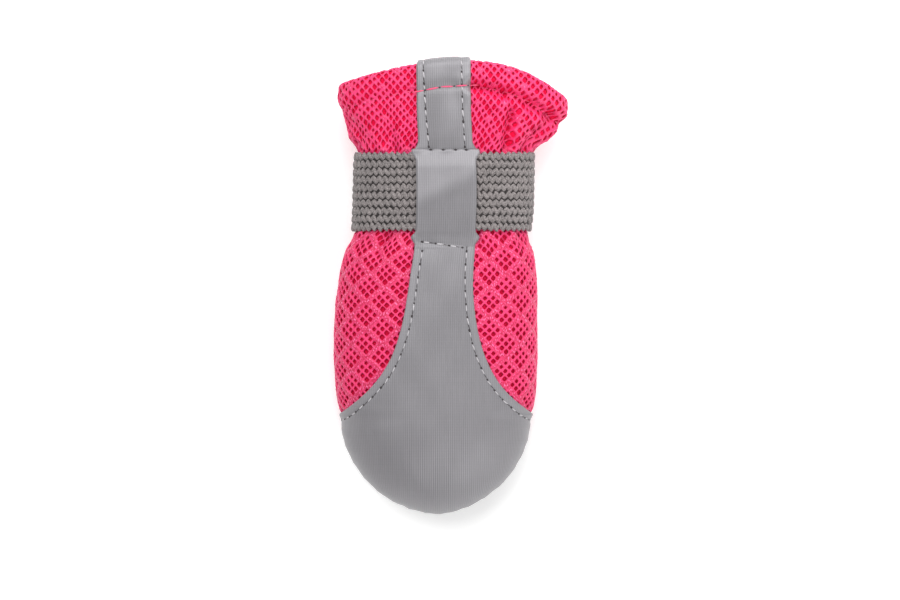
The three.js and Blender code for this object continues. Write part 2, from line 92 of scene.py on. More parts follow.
def monotone(places: Array, values: Array, along: Array) -> Array:
    """A monotone cubic through some values.

    Args:
        places: Where the values lie, rising.
        values: The values.
        along: Where to read the curve; it is level outside its ends.

    Returns:
        The curve's value at each place.
    """
    slopes = np.diff(values) / np.diff(places)
    product = slopes[:-1] * slopes[1:]
    total = np.where(product > 0, slopes[:-1] + slopes[1:], 1)
    tangents = np.concatenate([[0], np.where(product > 0, 2 * product / total, 0), [0]])
    along = np.clip(along, places[0], places[-1])
    i = np.clip(np.searchsorted(places, along, side="right") - 1, 0, len(places) - 2)
    step = places[i + 1] - places[i]
    t = (along - places[i]) / step
    ease = t * t * (3 - 2 * t)
    bend = t * (1 - t) * ((1 - t) * tangents[i] - t * tangents[i + 1])
    return values[i] + ease * (values[i + 1] - values[i]) + step * bend


def unit(vectors: Array) -> Array:
    """Vectors of length 1 along the last axis."""
    return vectors / np.maximum(np.linalg.norm(vectors, axis=-1, keepdims=True), 1e-12)


def travelled(path: Array) -> Array:
    """The distance covered at each point of a bent line, from 0 at its first."""
    return np.concatenate([[0], np.cumsum(np.linalg.norm(np.diff(path, axis=0), axis=1))])


def read_off(rows: Array, places: Array, goals: Array) -> Array:
    """Rows of numbers read off at goals between the places where they lie."""
    return abreast(*(np.interp(goals, places, column) for column in rows.T))


def path_distance(points: Array, path: Array) -> Array:
    """Distance from each point to a bent line.

    Args:
        points: Points, one a row.
        path: The line's corners, in the same number of dimensions.

    Returns:
        The least distance of each point.
    """
    best = np.full(len(points), np.inf)
    for start, end in zip(path[:-1], path[1:]):
        span = end - start
        share = np.clip((points - start) @ span / (span @ span), 0, 1)
        best = np.minimum(best, np.linalg.norm(points - start - share[:, None] * span, axis=1))
    return best


@dataclass(frozen=True)
class Section:
    """One cross-section of the sock, as in the part's own table."""

    along: float
    half: float
    low: float
    high: float
    widest: float
    shift: float
    press: float
    under: float
    over: float


@dataclass(frozen=True)
class Crease:
    """A fold: a soft trough along a bent line, with a ridge beside it."""

    path: tuple[Pair, ...]
    depth: float
    width: float
    ridge: float = 0.35
    ridge_away: float = 2.2
    ridge_width: float = 1.3

    def lift(self, places: Array) -> Array:
        """How far the cloth stands off at places across and along the front."""
        distance = path_distance(places, np.array(self.path, float))
        ridge = bell(distance - self.ridge_away * self.width, self.ridge_width * self.width)
        return self.depth * (self.ridge * ridge - bell(distance, self.width))


@dataclass(frozen=True)
class Wave:
    """A ripple in the cloth: its height, how fast it turns and where it starts."""

    height: float
    rate: float
    start: float

    def at(self, place: Array) -> Array:
        """The ripple's height at some places."""
        return self.height * np.sin(self.rate * place + self.start)


@dataclass(frozen=True)
class Swell:
    """A soft rise or trough in the cloth: its height, its middle and its width."""

    height: float
    middle: float
    width: float

    def at(self, place: Array) -> Array:
        """Its height at some places."""
        return self.height * bell(place - self.middle, self.width)


@dataclass(frozen=True)
class PaintedLightSpot:
    """A soft spot of painted highlight on a facing, or of painted shade where its gain is below 0."""

    across: float
    run: float
    half_across: float
    half_run: float
    gain: float

    def at(self, across: Array, run: Array) -> Array:
        """The spot's strength at places of the cloth."""
        away = np.hypot((across - self.across) / self.half_across, (run - self.run) / self.half_run)
        return self.gain * bell(away, 1.0)


# A section's half and high are shares of the ball's half width and of the instep's height.
SECTIONS = tuple(Section(*row) for row in (
    (24, 0.905, 1.7, 0.955, 9.0, 0.0, 0.5, 3.0, 2.2),
    (27.5, 0.958, 1.7, 0.958, 9.3, 0.0, 0.5, 3.0, 2.2),
    (31, 0.98, 1.7, 0.963, 9.6, 0.0, 0.5, 3.0, 2.25),
    (42, 1.0, 1.7, 0.982, 10.4, 0.0, 0.5, 3.0, 2.3),
    (54, 0.99, 1.7, 1.0, 11.4, 0.1, 0.5, 2.9, 2.3),
    (57, 0.983, 1.7, 1.0, 11.7, 0.3, 0.5, 2.9, 2.3),
    (58.5, 0.978, 2.3, 1.0, 11.9, 0.4, 0.5, 2.9, 2.3),
    (63.4, 0.955, 2.3, 0.995, 12.4, 0.7, 0.5, 2.8, 2.3),
    (68, 0.915, 3.3, 0.98, 13.2, 1.1, 0.4, 2.6, 2.3),
    (72.3, 0.828, 4.9, 0.945, 14.4, 1.7, 0.4, 2.5, 2.3),
    (92.8, 0.828, 4.9, 0.945, 14.4, 2.4, 0.4, 2.5, 2.3),
    (97, 0.985, 3.4, 0.97, 13.8, 3.1, 0.2, 2.3, 2.2),
    (104, 1.06, 1.9, 1.0, 13.4, 3.9, 0.0, 2.1, 2.1),
    (116.1, 1.11, 1.6, 1.015, 13.4, 4.5, 0.0, 2.1, 2.1),
))

# Runs along the sock, and how far across it the facings' middle line lies there.
FACING_LINE = (
    (25.62, 0.1), (40.0, 0.65), (55.0, 1.15), (62.0, 1.6), (69.0, 2.35), (82.6, 2.75), (96.0, 2.45),
    (104.0, 2.1), (116.1, 2.0),
)

# Each crease's line, as places across and along the sock, with its depth and its width.
CREASES = (
    Crease(((18.0, 93.0), (18.6, 97.5), (19.6, 103.0)), 2.3, 1.15),
    Crease(((9.5, 109.6), (15.0, 108.2), (22.0, 105.3), (29.0, 102.2)), 1.5, 1.3),
    Crease(((21.5, 93.5), (25.5, 97.0), (30.0, 101.0)), 1.3, 1.4),
    Crease(((-19.5, 93.5), (-20.5, 97.5), (-23.0, 101.5)), 0.6, 1.5),
    Crease(((-10.5, 93.5), (-11.0, 98.0)), 0.5, 1.0),
    Crease(((10.5, 71.5), (11.5, 67.0), (12.0, 63.5)), 0.5, 1.1),
    Crease(((-13.0, 71.5), (-15.0, 67.0)), 0.6, 1.3),
    Crease(((17.0, 71.8), (19.0, 67.5)), 0.5, 1.2),
)


@dataclass
class Form:
    """The outside of the mesh, as a function of an angle round it and a run from the toe."""

    ball_half: float = 26.1
    instep: float = 25.6
    toe_tip: float = 0.9
    toe_length: float = 23.985
    toe_power: float = 1.85
    toe_ease: float = 0.15
    toe_height: float = 8.5
    toe_spring: float = 0.6
    collar_from: float = 95.0
    rim_top: float = 116.1
    rim_drops: Pair = (5.6, 9.4)
    rim_powers: Pair = (1.6, 2.6)
    rim_back: float = 4.0
    rim_roundness: float = 2.1
    hem_wall: float = 3.0
    hem_depth: float = 6.8
    hem_bulge: Pair = (0.25, 0.4)
    hem_trough: Pair = (0.25, 0.45)
    hem_ease: float = 2.5
    hem_trough_width: float = 0.8
    sole_heel: float = 62.8
    sole_toe: float = 3.9
    sole_half: float = 20.5
    sole_heel_half: float = 20.0
    strap_from: float = 72.6
    strap_to: float = 92.6
    waist_right: Swell = Swell(0.65, 71.0, 3.0)
    waist_left: Swell = Swell(0.75, 98.2, 3.2)
    rim_flare: Swell = Swell(0.6, 4.0, 2.6)
    side_ease: Pair = (0.55, 0.95)
    front_ease: Pair = (-0.15, 0.2)
    right_ease: Pair = (-0.2, 0.6)
    puckers: tuple[Wave, ...] = (Wave(0.34, 15, 0.6), Wave(0.22, 26, 2.1))
    pucker_fade: float = 4.5
    pucker_ease: Pair = (-1.5, 1.0)
    strap_swell: Swell = Swell(0.7, 0.9, 1.7)
    swell_ease: Pair = (0.35, 0.8)
    under_strap: Pair = (-1.4, 0.6)
    slack: tuple[tuple[Wave, Wave], ...] = (
        (Wave(0.16, 0.31, 0.5), Wave(1.0, 0.23, 1.1)),
        (Wave(0.096, 0.55, 2.0), Wave(1.0, 0.41, 0.3)),
    )
    slack_ease: float = 4.0
    cap_corner: float = 25.62
    cap_flare: float = 11.0
    cap_turned: float = 0.9
    stem_half: float = 7.3
    strip_half: float = 6.9
    shares: int = 240
    stations: Array = field(init=False)
    turns: Array = field(init=False)
    girths: Array = field(init=False)

    def __post_init__(self) -> None:
        """Work out the tables that turn an even share of the way round into an angle."""
        toe = nose_rows(self.toe_tip, self.toe_length, 40, first=0.04)
        self.stations = np.concatenate([toe, np.linspace(self.toe_length + 0.5, self.rim_top, 150)])
        angles = np.linspace(0, 2 * np.pi, 3 * self.shares + 1)
        self.turns = np.empty((len(self.stations), self.shares + 1))
        self.girths = np.empty(len(self.stations))
        for i, along in enumerate(self.stations):
            covered = travelled(self.ring_point(angles, np.full(len(angles), along)))
            self.girths[i] = covered[-1]
            self.turns[i] = np.interp(np.linspace(0, covered[-1], self.shares + 1), covered, angles)

    def column(self, key: str, along: Array) -> Array:
        """One column of the section table at places along the foot."""
        table = ([getattr(row, name) for row in SECTIONS] for name in ("along", key))
        return monotone(*(np.array(values, float) for values in table), along)

    def facing_middle(self, run: Array) -> Array:
        """Where the facing's middle line lies across the sock."""
        places, across = np.array(FACING_LINE).T
        return monotone(places, across, run)

    def facing_lean(self, run: Array) -> Array:
        """How far the facing's middle line lies across from the form's."""
        return self.facing_middle(run) - self.column("shift", run)

    def sizes(self, along: Array) -> dict[str, Array]:
        """The sizes of the sections at places along the foot, with the toe rounded off."""
        along = np.asarray(along, float)
        size = {item.name: self.column(item.name, along) for item in fields(Section)}
        ahead = (self.toe_length - along) / (self.toe_length - self.toe_tip)
        back = np.clip((ahead + np.hypot(ahead, self.toe_ease)) / (1 + np.hypot(1, self.toe_ease)), 0, 1)
        share = (1 - back**self.toe_power) ** (1 / self.toe_power)
        size["half"] = size["half"] * self.ball_half * share
        size["high"] = self.toe_height + (size["high"] * self.instep - self.toe_height) * share
        size["widest"] = self.toe_height + (size["widest"] - self.toe_height) * share
        size["low"] = self.toe_height - (self.toe_height - size["low"]) * share**self.toe_spring
        size["press"] = size["press"] * share
        return size

    def ring_point(self, angle: Array, along: Array) -> Array:
        """Places across and up of the section's outline at an angle from its front towards +X."""
        size = self.sizes(along)
        sine, cosine = np.sin(angle), np.cos(angle)
        power = 2 / np.where(cosine < 0, size["under"], size["over"])
        across = np.sign(sine) * np.abs(sine) ** power
        rise = np.abs(cosine) ** power
        depth = size["widest"] - size["low"] + size["press"]
        below = np.maximum(size["low"], size["widest"] - depth * rise)
        above = size["widest"] + (size["high"] - size["widest"]) * rise
        return abreast(size["shift"] + size["half"] * across, np.where(cosine < 0, below, above))

    def rim(self, angle: Array) -> Array:
        """How far along the rim lies at an angle: it falls at the left, the right and the back."""
        sine = np.sin(angle)
        drop, power = (np.where(sine < 0, *sides) for sides in (self.rim_drops, self.rim_powers))
        side = np.abs(sine) ** (2 / self.rim_roundness)
        back = np.where(np.cos(angle) < 0, self.rim_back * (1 - side**power), 0)
        return self.rim_top - drop * side**power - back

    def point(self, angle: Array, run: Array) -> Array:
        """A point of the plain form.

        Args:
            angle: Angles from the front towards +X.
            run: True places along the foot, up to the rim.

        Returns:
            The points, in millimetres from the toe tip on the floor.
        """
        room = (self.rim_top - self.collar_from) / (self.rim(angle) - self.collar_from)
        nominal = np.where(run > self.collar_from, self.collar_from + (run - self.collar_from) * room, run)
        flat = self.ring_point(angle, np.clip(nominal, self.toe_tip, self.rim_top))
        return abreast(flat[..., 0], run, flat[..., 1])

    def normal(self, angle: Array, run: Array) -> tuple[Array, Array]:
        """Directions at points of the form.

        Args:
            angle: Angles from the front towards +X.
            run: True places along the foot.

        Returns:
            The outward normals and the directions towards the collar.
        """
        turn, step = 0.012, 0.12
        around = self.point(angle + turn, run) - self.point(angle - turn, run)
        low = np.maximum(run - step, self.toe_tip)
        lengthways = self.point(angle, run + step) - self.point(angle, low)
        out = np.cross(around, lengthways)
        lost = np.linalg.norm(out, axis=-1, keepdims=True) < 1e-7
        return unit(np.where(lost, (0.0, -1.0, 0.0), out)), unit(lengthways)

    def angle_of_share(self, share: Array, run: Array) -> Array:
        """Angles that lie an even share of the way round.

        Args:
            share: Shares of the section's length, from the front towards +X.
            run: Places along the foot.

        Returns:
            The angles; a whole turn goes with each whole share.
        """
        share, run = np.broadcast_arrays(np.asarray(share, float), np.asarray(run, float))
        row = np.interp(run, self.stations, np.arange(len(self.stations)))
        i = np.minimum(row.astype(int), len(self.stations) - 2)
        place = (share - np.floor(share)) * self.shares
        j = np.minimum(place.astype(int), self.shares - 1)
        u, v = row - i, place - j
        low = self.turns[i, j] * (1 - v) + self.turns[i, j + 1] * v
        high = self.turns[i + 1, j] * (1 - v) + self.turns[i + 1, j + 1] * v
        return low * (1 - u) + high * u + 2 * np.pi * np.floor(share)

    def angle_of_across(self, across: Array, run: Array) -> Array:
        """The angle at the front of the sock that lies a distance across from the facing's middle line."""
        size = self.sizes(run)
        place = across + self.facing_lean(run)
        share = np.clip(np.abs(place) / np.maximum(size["half"], TINY), 0, 1)
        return np.sign(place) * np.arcsin(share ** (size["over"] / 2))

    def clear_of_strap(self, run: Array) -> Array:
        """How far places along the sock lie outside the strap, below 0 under it."""
        return np.maximum(self.strap_from - run, run - self.strap_to)

    def drawn_in(self, angle: Array, run: Array) -> Array:
        """How far the right is drawn in before the strap, and the left below the rim's flare."""
        at_right, at_left = (smooth(side * np.sin(angle), *self.side_ease) for side in (1, -1))
        left = self.waist_left.at(run) - self.rim_flare.at(self.rim(angle) - run)
        return self.waist_right.at(run) * at_right + left * at_left

    def relief(self, angle: Array, run: Array, points: Array) -> Array:
        """How far creases, puckers, the hem and slack lift the cloth.

        Args:
            angle: Angles from the front towards +X.
            run: Places along the foot.
            points: The points of the plain form there.

        Returns:
            The lift off the plain form.
        """
        flat = abreast(points[..., 0], run).reshape(-1, 2)
        front = smooth(np.cos(angle), *self.front_ease)
        lift = front * sum(crease.lift(flat) for crease in CREASES).reshape(np.shape(run))
        clear = self.clear_of_strap(run)
        gather = np.exp(-np.maximum(clear, 0) / self.pucker_fade) * smooth(clear, *self.pucker_ease)
        lift += gather * sum(wave.at(angle) for wave in self.puckers)
        lift += self.strap_swell.at(clear) * smooth(np.abs(np.sin(angle)), *self.swell_ease)
        lift = np.where(lift > 0, lift * smooth(clear, *self.under_strap), lift)
        slack = sum(across.at(points[..., 0]) * along.at(run) for across, along in self.slack)
        free = np.maximum(front, smooth(run, self.strap_to, self.strap_to + self.slack_ease))
        return lift + self.hem_lift(angle, run, front) - self.drawn_in(angle, run) + slack * free

    def hem_lift(self, angle: Array, run: Array, front: Array) -> Array:
        """How far the hem bulges above its trough, most at the right of the front."""
        below_rim = self.rim(angle) - run
        right = smooth(np.sin(angle), *self.right_ease) * front
        bulge, trough = (all_round + more * right for all_round, more in (self.hem_bulge, self.hem_trough))
        risen = smooth(below_rim, self.hem_depth, self.hem_depth - self.hem_ease)
        return bulge * risen - trough * bell(below_rim - self.hem_depth, self.hem_trough_width)

    def cloth(self, angle: Array, run: Array, lift: Array | float) -> Array:
        """A point of the cloth at a distance off it, folding over the rim for a run past it.

        Args:
            angle: Angles from the front towards +X.
            run: Places along the cloth; past the rim they go over it and down inside.
            lift: Distance off the outside of the mesh.

        Returns:
            The points, in millimetres.
        """
        angle, run, lift = np.broadcast_arrays(*(np.asarray(item, float) for item in (angle, run, lift)))
        radius = self.hem_wall / 2
        base = self.rim(angle) - radius
        over = np.maximum(run - base, 0)
        turn = np.minimum(over / radius, np.pi)
        flat_run = np.clip(np.minimum(run, base) - over + turn * radius, self.toe_tip, base)
        points = self.point(angle, flat_run)
        normal, lengthways = self.normal(angle, flat_run)
        relief = self.relief(angle, flat_run, points)
        centre = points + normal * (relief - radius)[..., None]
        reach = (radius + lift)[..., None]
        fold = normal * np.cos(turn)[..., None] + lengthways * np.sin(turn)[..., None]
        return centre + reach * fold

    def cap_side(self) -> float:
        """Half the foot's width where the cap's edge turns under it."""
        return float(self.sizes(np.array(self.cap_corner))["half"])

    def cap_edge(self, run: Array) -> Array:
        """Half the cap's width at places along the foot: a bell that narrows to the stem."""
        reach = self.cap_side() + self.cap_turned - self.stem_half
        return self.stem_half + reach * np.exp((self.cap_corner - np.asarray(run, float)) / self.cap_flare)

    def sole_edge(self, along: Array) -> Array:
        """Half the sole's width at places along it, 0 before its toe."""
        along = np.asarray(along, float)
        back = (along - self.toe_length) / (self.sole_heel - self.toe_length)
        ahead = np.clip((self.toe_length - along) / (self.toe_length - self.sole_toe), 0, 1)
        rounding = (1 - ahead**self.toe_power) ** (1 / self.toe_power)
        straight = self.sole_half + (self.sole_heel_half - self.sole_half) * np.clip(back, 0, 1)
        return straight * rounding


def rgba(colour: Triple, gain: float = 1.0) -> tuple[float, float, float, float]:
    """A colour with alpha, made lighter or darker."""
    return (*(min(1.0, part * gain) for part in colour), 1.0)


@dataclass
class Socket:
    """A node's output, with operators that add Math nodes."""

    nodes: "Nodes"
    socket: bpy.types.NodeSocket

    def __add__(self, other: "Socket | float") -> "Socket":
        """Sum."""
        return self.nodes.math("ADD", self, other)

    def __rsub__(self, other: float) -> "Socket":
        """Difference from a number."""
        return self.nodes.math("SUBTRACT", other, self)

    def __mul__(self, other: "Socket | float") -> "Socket":
        """Product."""
        return self.nodes.math("MULTIPLY", self, other)

    __radd__ = __add__
    __rmul__ = __mul__


@dataclass
class Nodes:
    """A node tree whose nodes are added as wrapped outputs."""

    tree: bpy.types.NodeTree

    def add(
        self, kind: str, settings: dict[str, Any], inputs: dict[str | int, Any], output: str | int = 0
    ) -> Socket:
        """Add any node.

        Args:
            kind: The node's type.
            settings: Properties of the node, set first.
            inputs: Values or links of its sockets, by name or number.
            output: The output that is returned.

        Returns:
            The wrapped output.
        """
        node = self.tree.nodes.new(kind)
        for key, value in settings.items():
            setattr(node, key, value)
        for key, value in inputs.items():
            self.feed(node.inputs[key], value)
        return Socket(self, node.outputs[output])

    def feed(self, socket: bpy.types.NodeSocket, value: Any) -> None:
        """Set a socket, or link it to an output."""
        if isinstance(value, Socket):
            self.tree.links.new(value.socket, socket)
        else:
            socket.default_value = value

    def math(self, operation: str, first: Any, second: Any) -> Socket:
        """Add a Math node on two values."""
        return self.add("ShaderNodeMath", {"operation": operation}, {0: first, 1: second})


class Shading(Nodes):
    """The node tree of one material."""

    def __init__(self, name: str) -> None:
        """Start a material with its shader."""
        self.material = bpy.data.materials.new(name)
        self.material.use_nodes = True
        super().__init__(self.material.node_tree)
        self.shader = self.tree.nodes["Principled BSDF"]

    def mix(self, factor: Any, first: Any, second: Any) -> Socket:
        """Mix two colours."""
        return self.add("ShaderNodeMix", {"data_type": "RGBA"}, {0: factor, 6: first, 7: second}, 2)

    def shaded(self, factor: Any, colour: Triple, shades: Pair) -> Socket:
        """A colour between its darker and its lighter shade."""
        return self.mix(factor, *(rgba(colour, shade) for shade in shades))

    def noise(self, place: Socket, scale: float = 1.0, detail: float = 2.0) -> Socket:
        """A noise value from 0 to 1."""
        return self.add("ShaderNodeTexNoise", {}, {"Vector": place, "Scale": scale, "Detail": detail})

    def stretched(self, place: Socket, scale: Triple, turn: float = 0.0) -> Socket:
        """A place stretched along its axes and turned about Z."""
        return self.add("ShaderNodeMapping", {}, {"Vector": place, "Scale": scale, "Rotation": (0, 0, turn)})

    def place(self) -> Socket:
        """The object's own coordinates."""
        return self.add("ShaderNodeTexCoord", {}, {}, "Object")

    def cloth_place(self) -> Socket:
        """The piece's own map, in millimetres of cloth."""
        return self.add("ShaderNodeUVMap", {"uv_map": "cloth"}, {})

    def marked(self, key: str) -> Socket:
        """A value that the mesh carries at its points."""
        return self.add("ShaderNodeAttribute", {"attribute_name": key}, {}, "Fac")

    def axis(self, place: Socket, name: str) -> Socket:
        """One coordinate of a place."""
        return self.add("ShaderNodeSeparateXYZ", {}, {0: place}, name)

    def ranged(self, value: Socket, start: float, end: float, low: float = 0.0, high: float = 1.0) -> Socket:
        """A value taken to low at start and to high at end, and held there outside them."""
        return self.add("ShaderNodeMapRange", {}, {0: value, 1: start, 2: end, 3: low, 4: high})

    def bands(self, place: Socket, axis: str, pitch: float) -> Socket:
        """Even soft bands from 0 to 1 across an axis of the cloth's map."""
        wave = self.math("SINE", self.axis(place, axis) * (2 * np.pi / pitch), 0.0)
        return wave * 0.5 + 0.5

    def bump(self, height: Socket, distance: float, strength: float) -> None:
        """Feed the shader's normal from a height."""
        inputs = {"Height": height, "Distance": distance, "Strength": strength}
        self.feed(self.shader.inputs["Normal"], self.add("ShaderNodeBump", {}, inputs))

    def set(self, **values: Any) -> None:
        """Set or link the shader's sockets, named with underscores for spaces."""
        for key, value in values.items():
            self.feed(self.shader.inputs[key.replace("_", " ")], value)

    def finish(self, look: Any, tone: Socket, height: Socket, **others: Any) -> Material:
        """Give the material a finish's colour, roughness and relief, and what else is set."""
        colour = self.shaded(tone, look.colour, look.shades)
        self.set(**({"Base_Color": colour, "Roughness": look.roughness} | others))
        self.bump(height, *look.relief)
        return self.material


# Below, scales of noise are per metre on the object and per millimetre on its cloth. A relief is the bump's
# distance in metres and its strength. Shades are gains on the colour, dark and light.


@dataclass(frozen=True)
class NetFinish:
    """Knitted polyester net: bright threads, painted shade at the holes' edges and a speckled, closed ground.
    """

    colour: Triple = (0.655, 0.017, 0.1)
    shades: Pair = (0.9, 1.1)
    shade_scale: float = 90.0
    thread: Triple = (0.86, 0.034, 0.175)
    fleck: Triple = (0.95, 0.2, 0.44)
    fleck_range: tuple[float, ...] = (0.56, 0.61, 0.0, 0.9)
    shade: Triple = (0.45, 0.009, 0.05)
    shade_range: tuple[float, ...] = (0.44, 0.5, 0.95, 0.0)
    edge: Triple = (0.6, 0.012, 0.06)
    edge_share: float = 0.4
    loop_scale: Triple = (2.7, 1.7, 1.0)
    loop_turn: float = 0.35
    web_speckle: float = 0.55
    web_relief: float = 1.15
    relief: Pair = (0.0003, 0.6)
    roughness: float = 0.55

    def make(self) -> Material:
        """Build the material."""
        nodes = Shading("net")
        loops = nodes.noise(nodes.stretched(nodes.cloth_place(), self.loop_scale, self.loop_turn))
        web = nodes.marked("web")
        closed = 1 - web * self.web_speckle
        ground = nodes.shaded(nodes.noise(nodes.place(), self.shade_scale), self.colour, self.shades)
        # Painted light on the closed ground: pale flecks are painted glints and dark ones painted shade, at
        # random.
        for colour, limits in ((self.shade, self.shade_range), (self.fleck, self.fleck_range)):
            ground = nodes.mix(nodes.ranged(loops, *limits) * closed, ground, rgba(colour))
        knit = nodes.mix(web, ground, rgba(self.thread))
        # Painted shade: the threads darken towards the holes' edges, as on a rounded thread.
        edge = nodes.marked("hole_edge") * self.edge_share
        nodes.set(Base_Color=nodes.mix(edge, knit, rgba(self.edge)), Roughness=self.roughness)
        nodes.set(Sheen_Weight=0.07, Sheen_Roughness=0.4, Sheen_Tint=(1.0, 0.5, 0.7, 1.0))
        nodes.bump(loops * (self.web_relief - web), *self.relief)
        return nodes.material


@dataclass(frozen=True)
class LiningFinish:
    """The finer inner face of the mesh, with painted shade: deeper red over the foot than in the collar."""

    colour: Triple = (0.82, 0.0045, 0.06)
    # Painted shade: the darker red of the lining over the foot.
    foot: Triple = (0.59, 0.0042, 0.045)
    shades: Pair = (0.7, 1.2)
    shade_scale: float = 2.2
    collar_range: Pair = (0.018, 0.03)
    pitches: Pair = (0.55, 0.7)
    relief: Pair = (0.0002, 0.5)
    roughness: float = 0.85

    def make(self) -> Material:
        """Build the material."""
        nodes = Shading("lining")
        cloth = nodes.cloth_place()
        wales, courses = (nodes.bands(cloth, axis, pitch) for axis, pitch in zip("XY", self.pitches))
        # Painted shade: the lining is a darker red over the foot, where the holes lie in shade, than in the
        # collar.
        collar = nodes.ranged(nodes.axis(nodes.place(), "Y"), *self.collar_range)
        ends = (nodes.mix(collar, rgba(self.foot, shade), rgba(self.colour, shade)) for shade in self.shades)
        nodes.set(Base_Color=nodes.mix(nodes.noise(cloth, self.shade_scale), *ends))
        nodes.set(Roughness=self.roughness, Specular_IOR_Level=0.15)
        nodes.bump(wales * courses, *self.relief)
        return nodes.material


@dataclass(frozen=True)
class FacingFinish:
    """Silver-grey reflective cloth: fine threads along it, fainter ones across, and a soft sheen."""

    colour: Triple = (0.213, 0.206, 0.219)
    shades: Pair = (0.74, 1.26)
    roughness: float = 0.4
    roughness_spread: float = 0.12
    pitches: Pair = (0.54, 0.675)
    slub_scale: Triple = (2.4, 0.12, 1.0)
    weft_slub_scale: Triple = (0.1, 2.0, 1.0)
    broad_scale: float = 55.0
    relief: Pair = (0.00012, 0.4)

    def make(self) -> Material:
        """Build the material."""
        nodes = Shading("facing")
        cloth = nodes.cloth_place()
        warp, weft = (nodes.bands(cloth, axis, pitch) for axis, pitch in zip("XY", self.pitches))
        slub = nodes.noise(nodes.stretched(cloth, self.slub_scale))
        weft_slub = nodes.noise(nodes.stretched(cloth, self.weft_slub_scale))
        broad = nodes.noise(nodes.place(), self.broad_scale)
        weave = warp * 0.86 + weft * 0.14
        # The marked value lays painted highlight and painted shade on the facing's colour.
        tone = weave * 0.36 + slub * 0.32 + weft_slub * 0.16 + broad * 0.16 + nodes.marked("gloss")
        nodes.set(Metallic=0.18, Sheen_Weight=0.12, Sheen_Roughness=0.35)
        rough = broad * self.roughness_spread + self.roughness
        return nodes.finish(self, tone, weave + slub * 0.5, Roughness=rough)


@dataclass(frozen=True)
class ElasticFinish:
    """Knitted elastic: matte grey yarn with fine filaments."""

    name: str = "elastic_yarn"
    colour: Triple = (0.186, 0.165, 0.163)
    roughness: float = 0.7
    shades: Pair = (0.34, 1.6)
    filament_scale: float = 3000.0
    filament_detail: float = 3.0
    filament_range: Pair = (0.34, 0.64)
    broad_scale: float = 260.0
    relief: Pair = (0.0002, 0.5)

    def make(self) -> Material:
        """Build the material."""
        nodes = Shading(self.name)
        place = nodes.place()
        filaments = nodes.noise(place, self.filament_scale, self.filament_detail)
        sharp = nodes.ranged(filaments, *self.filament_range)
        tone = sharp * 0.65 + nodes.noise(place, self.broad_scale) * 0.35
        return nodes.finish(self, tone, filaments, Sheen_Weight=0.25, Sheen_Roughness=0.4)


@dataclass(frozen=True)
class TapeFinish:
    """Light grey woven tape."""

    colour: Triple = (0.36, 0.33, 0.335)
    shades: Pair = (0.6, 1.15)
    pitch: float = 0.75
    grain_scale: float = 3.0
    relief: Pair = (0.0002, 0.6)
    roughness: float = 0.72

    def make(self) -> Material:
        """Build the material."""
        nodes = Shading("tape")
        cloth = nodes.cloth_place()
        ribs = nodes.bands(cloth, "X", self.pitch)
        tone = ribs * 0.6 + nodes.noise(cloth, self.grain_scale) * 0.4
        return nodes.finish(self, tone, ribs, Sheen_Weight=0.2)


@dataclass(frozen=True)
class LeatherFinish:
    """Black grained leatherette: pebbles, fine wrinkles and patches worn shinier."""

    colour: Triple = (0.012, 0.012, 0.0125)
    shades: Pair = (0.7, 1.9)
    roughness: float = 0.34
    roughness_spread: float = 0.2
    bend_scale: float = 140.0
    pebble_scale: float = 900.0
    wrinkle_scale: float = 420.0
    wrinkle_detail: float = 4.0
    wrinkle_stretch: Triple = (1.0, 2.6, 1.0)
    wrinkle_turn: float = 0.4
    relief: Pair = (0.00035, 0.6)

    def make(self) -> Material:
        """Build the material."""
        nodes = Shading("leatherette")
        place = nodes.place()
        bend = nodes.noise(place, self.bend_scale)
        pebble = nodes.add("ShaderNodeTexVoronoi", {}, {"Vector": place, "Scale": self.pebble_scale})
        drawn = nodes.stretched(place, self.wrinkle_stretch, self.wrinkle_turn)
        wrinkle = nodes.noise(drawn, self.wrinkle_scale, self.wrinkle_detail)
        rough = bend * self.roughness_spread + self.roughness
        height = pebble * 0.5 + wrinkle * 0.7 + bend * 0.4
        return nodes.finish(self, wrinkle, height, Roughness=rough, Specular_IOR_Level=0.6)


@dataclass(frozen=True)
class ThreadFinish:
    """Sewing thread of one colour."""

    name: str
    colour: Triple
    roughness: float = 0.5
    shades: Pair = (0.75, 1.2)
    twist_scale: float = 3200.0
    relief: Pair = (0.0001, 0.4)

    def make(self) -> Material:
        """Build the material."""
        nodes = Shading(self.name)
        twist = nodes.noise(nodes.place(), self.twist_scale)
        return nodes.finish(self, twist, twist, Sheen_Weight=0.2)


@dataclass(frozen=True)
class FloorFinish:
    """Plain pale studio floor."""

    colour: Triple = (0.93, 0.93, 0.925)
    shades: Pair = (0.99, 1.01)
    shade_scale: float = 4.0
    glow: float = 0.22
    roughness: float = 0.7

    def make(self) -> Material:
        """Build the material."""
        nodes = Shading("floor")
        tone = nodes.noise(nodes.place(), self.shade_scale)
        nodes.set(Base_Color=nodes.shaded(tone, self.colour, self.shades), Roughness=self.roughness)
        nodes.set(Emission_Color=rgba((1.0, 1.0, 1.0)), Emission_Strength=self.glow)
        return nodes.material


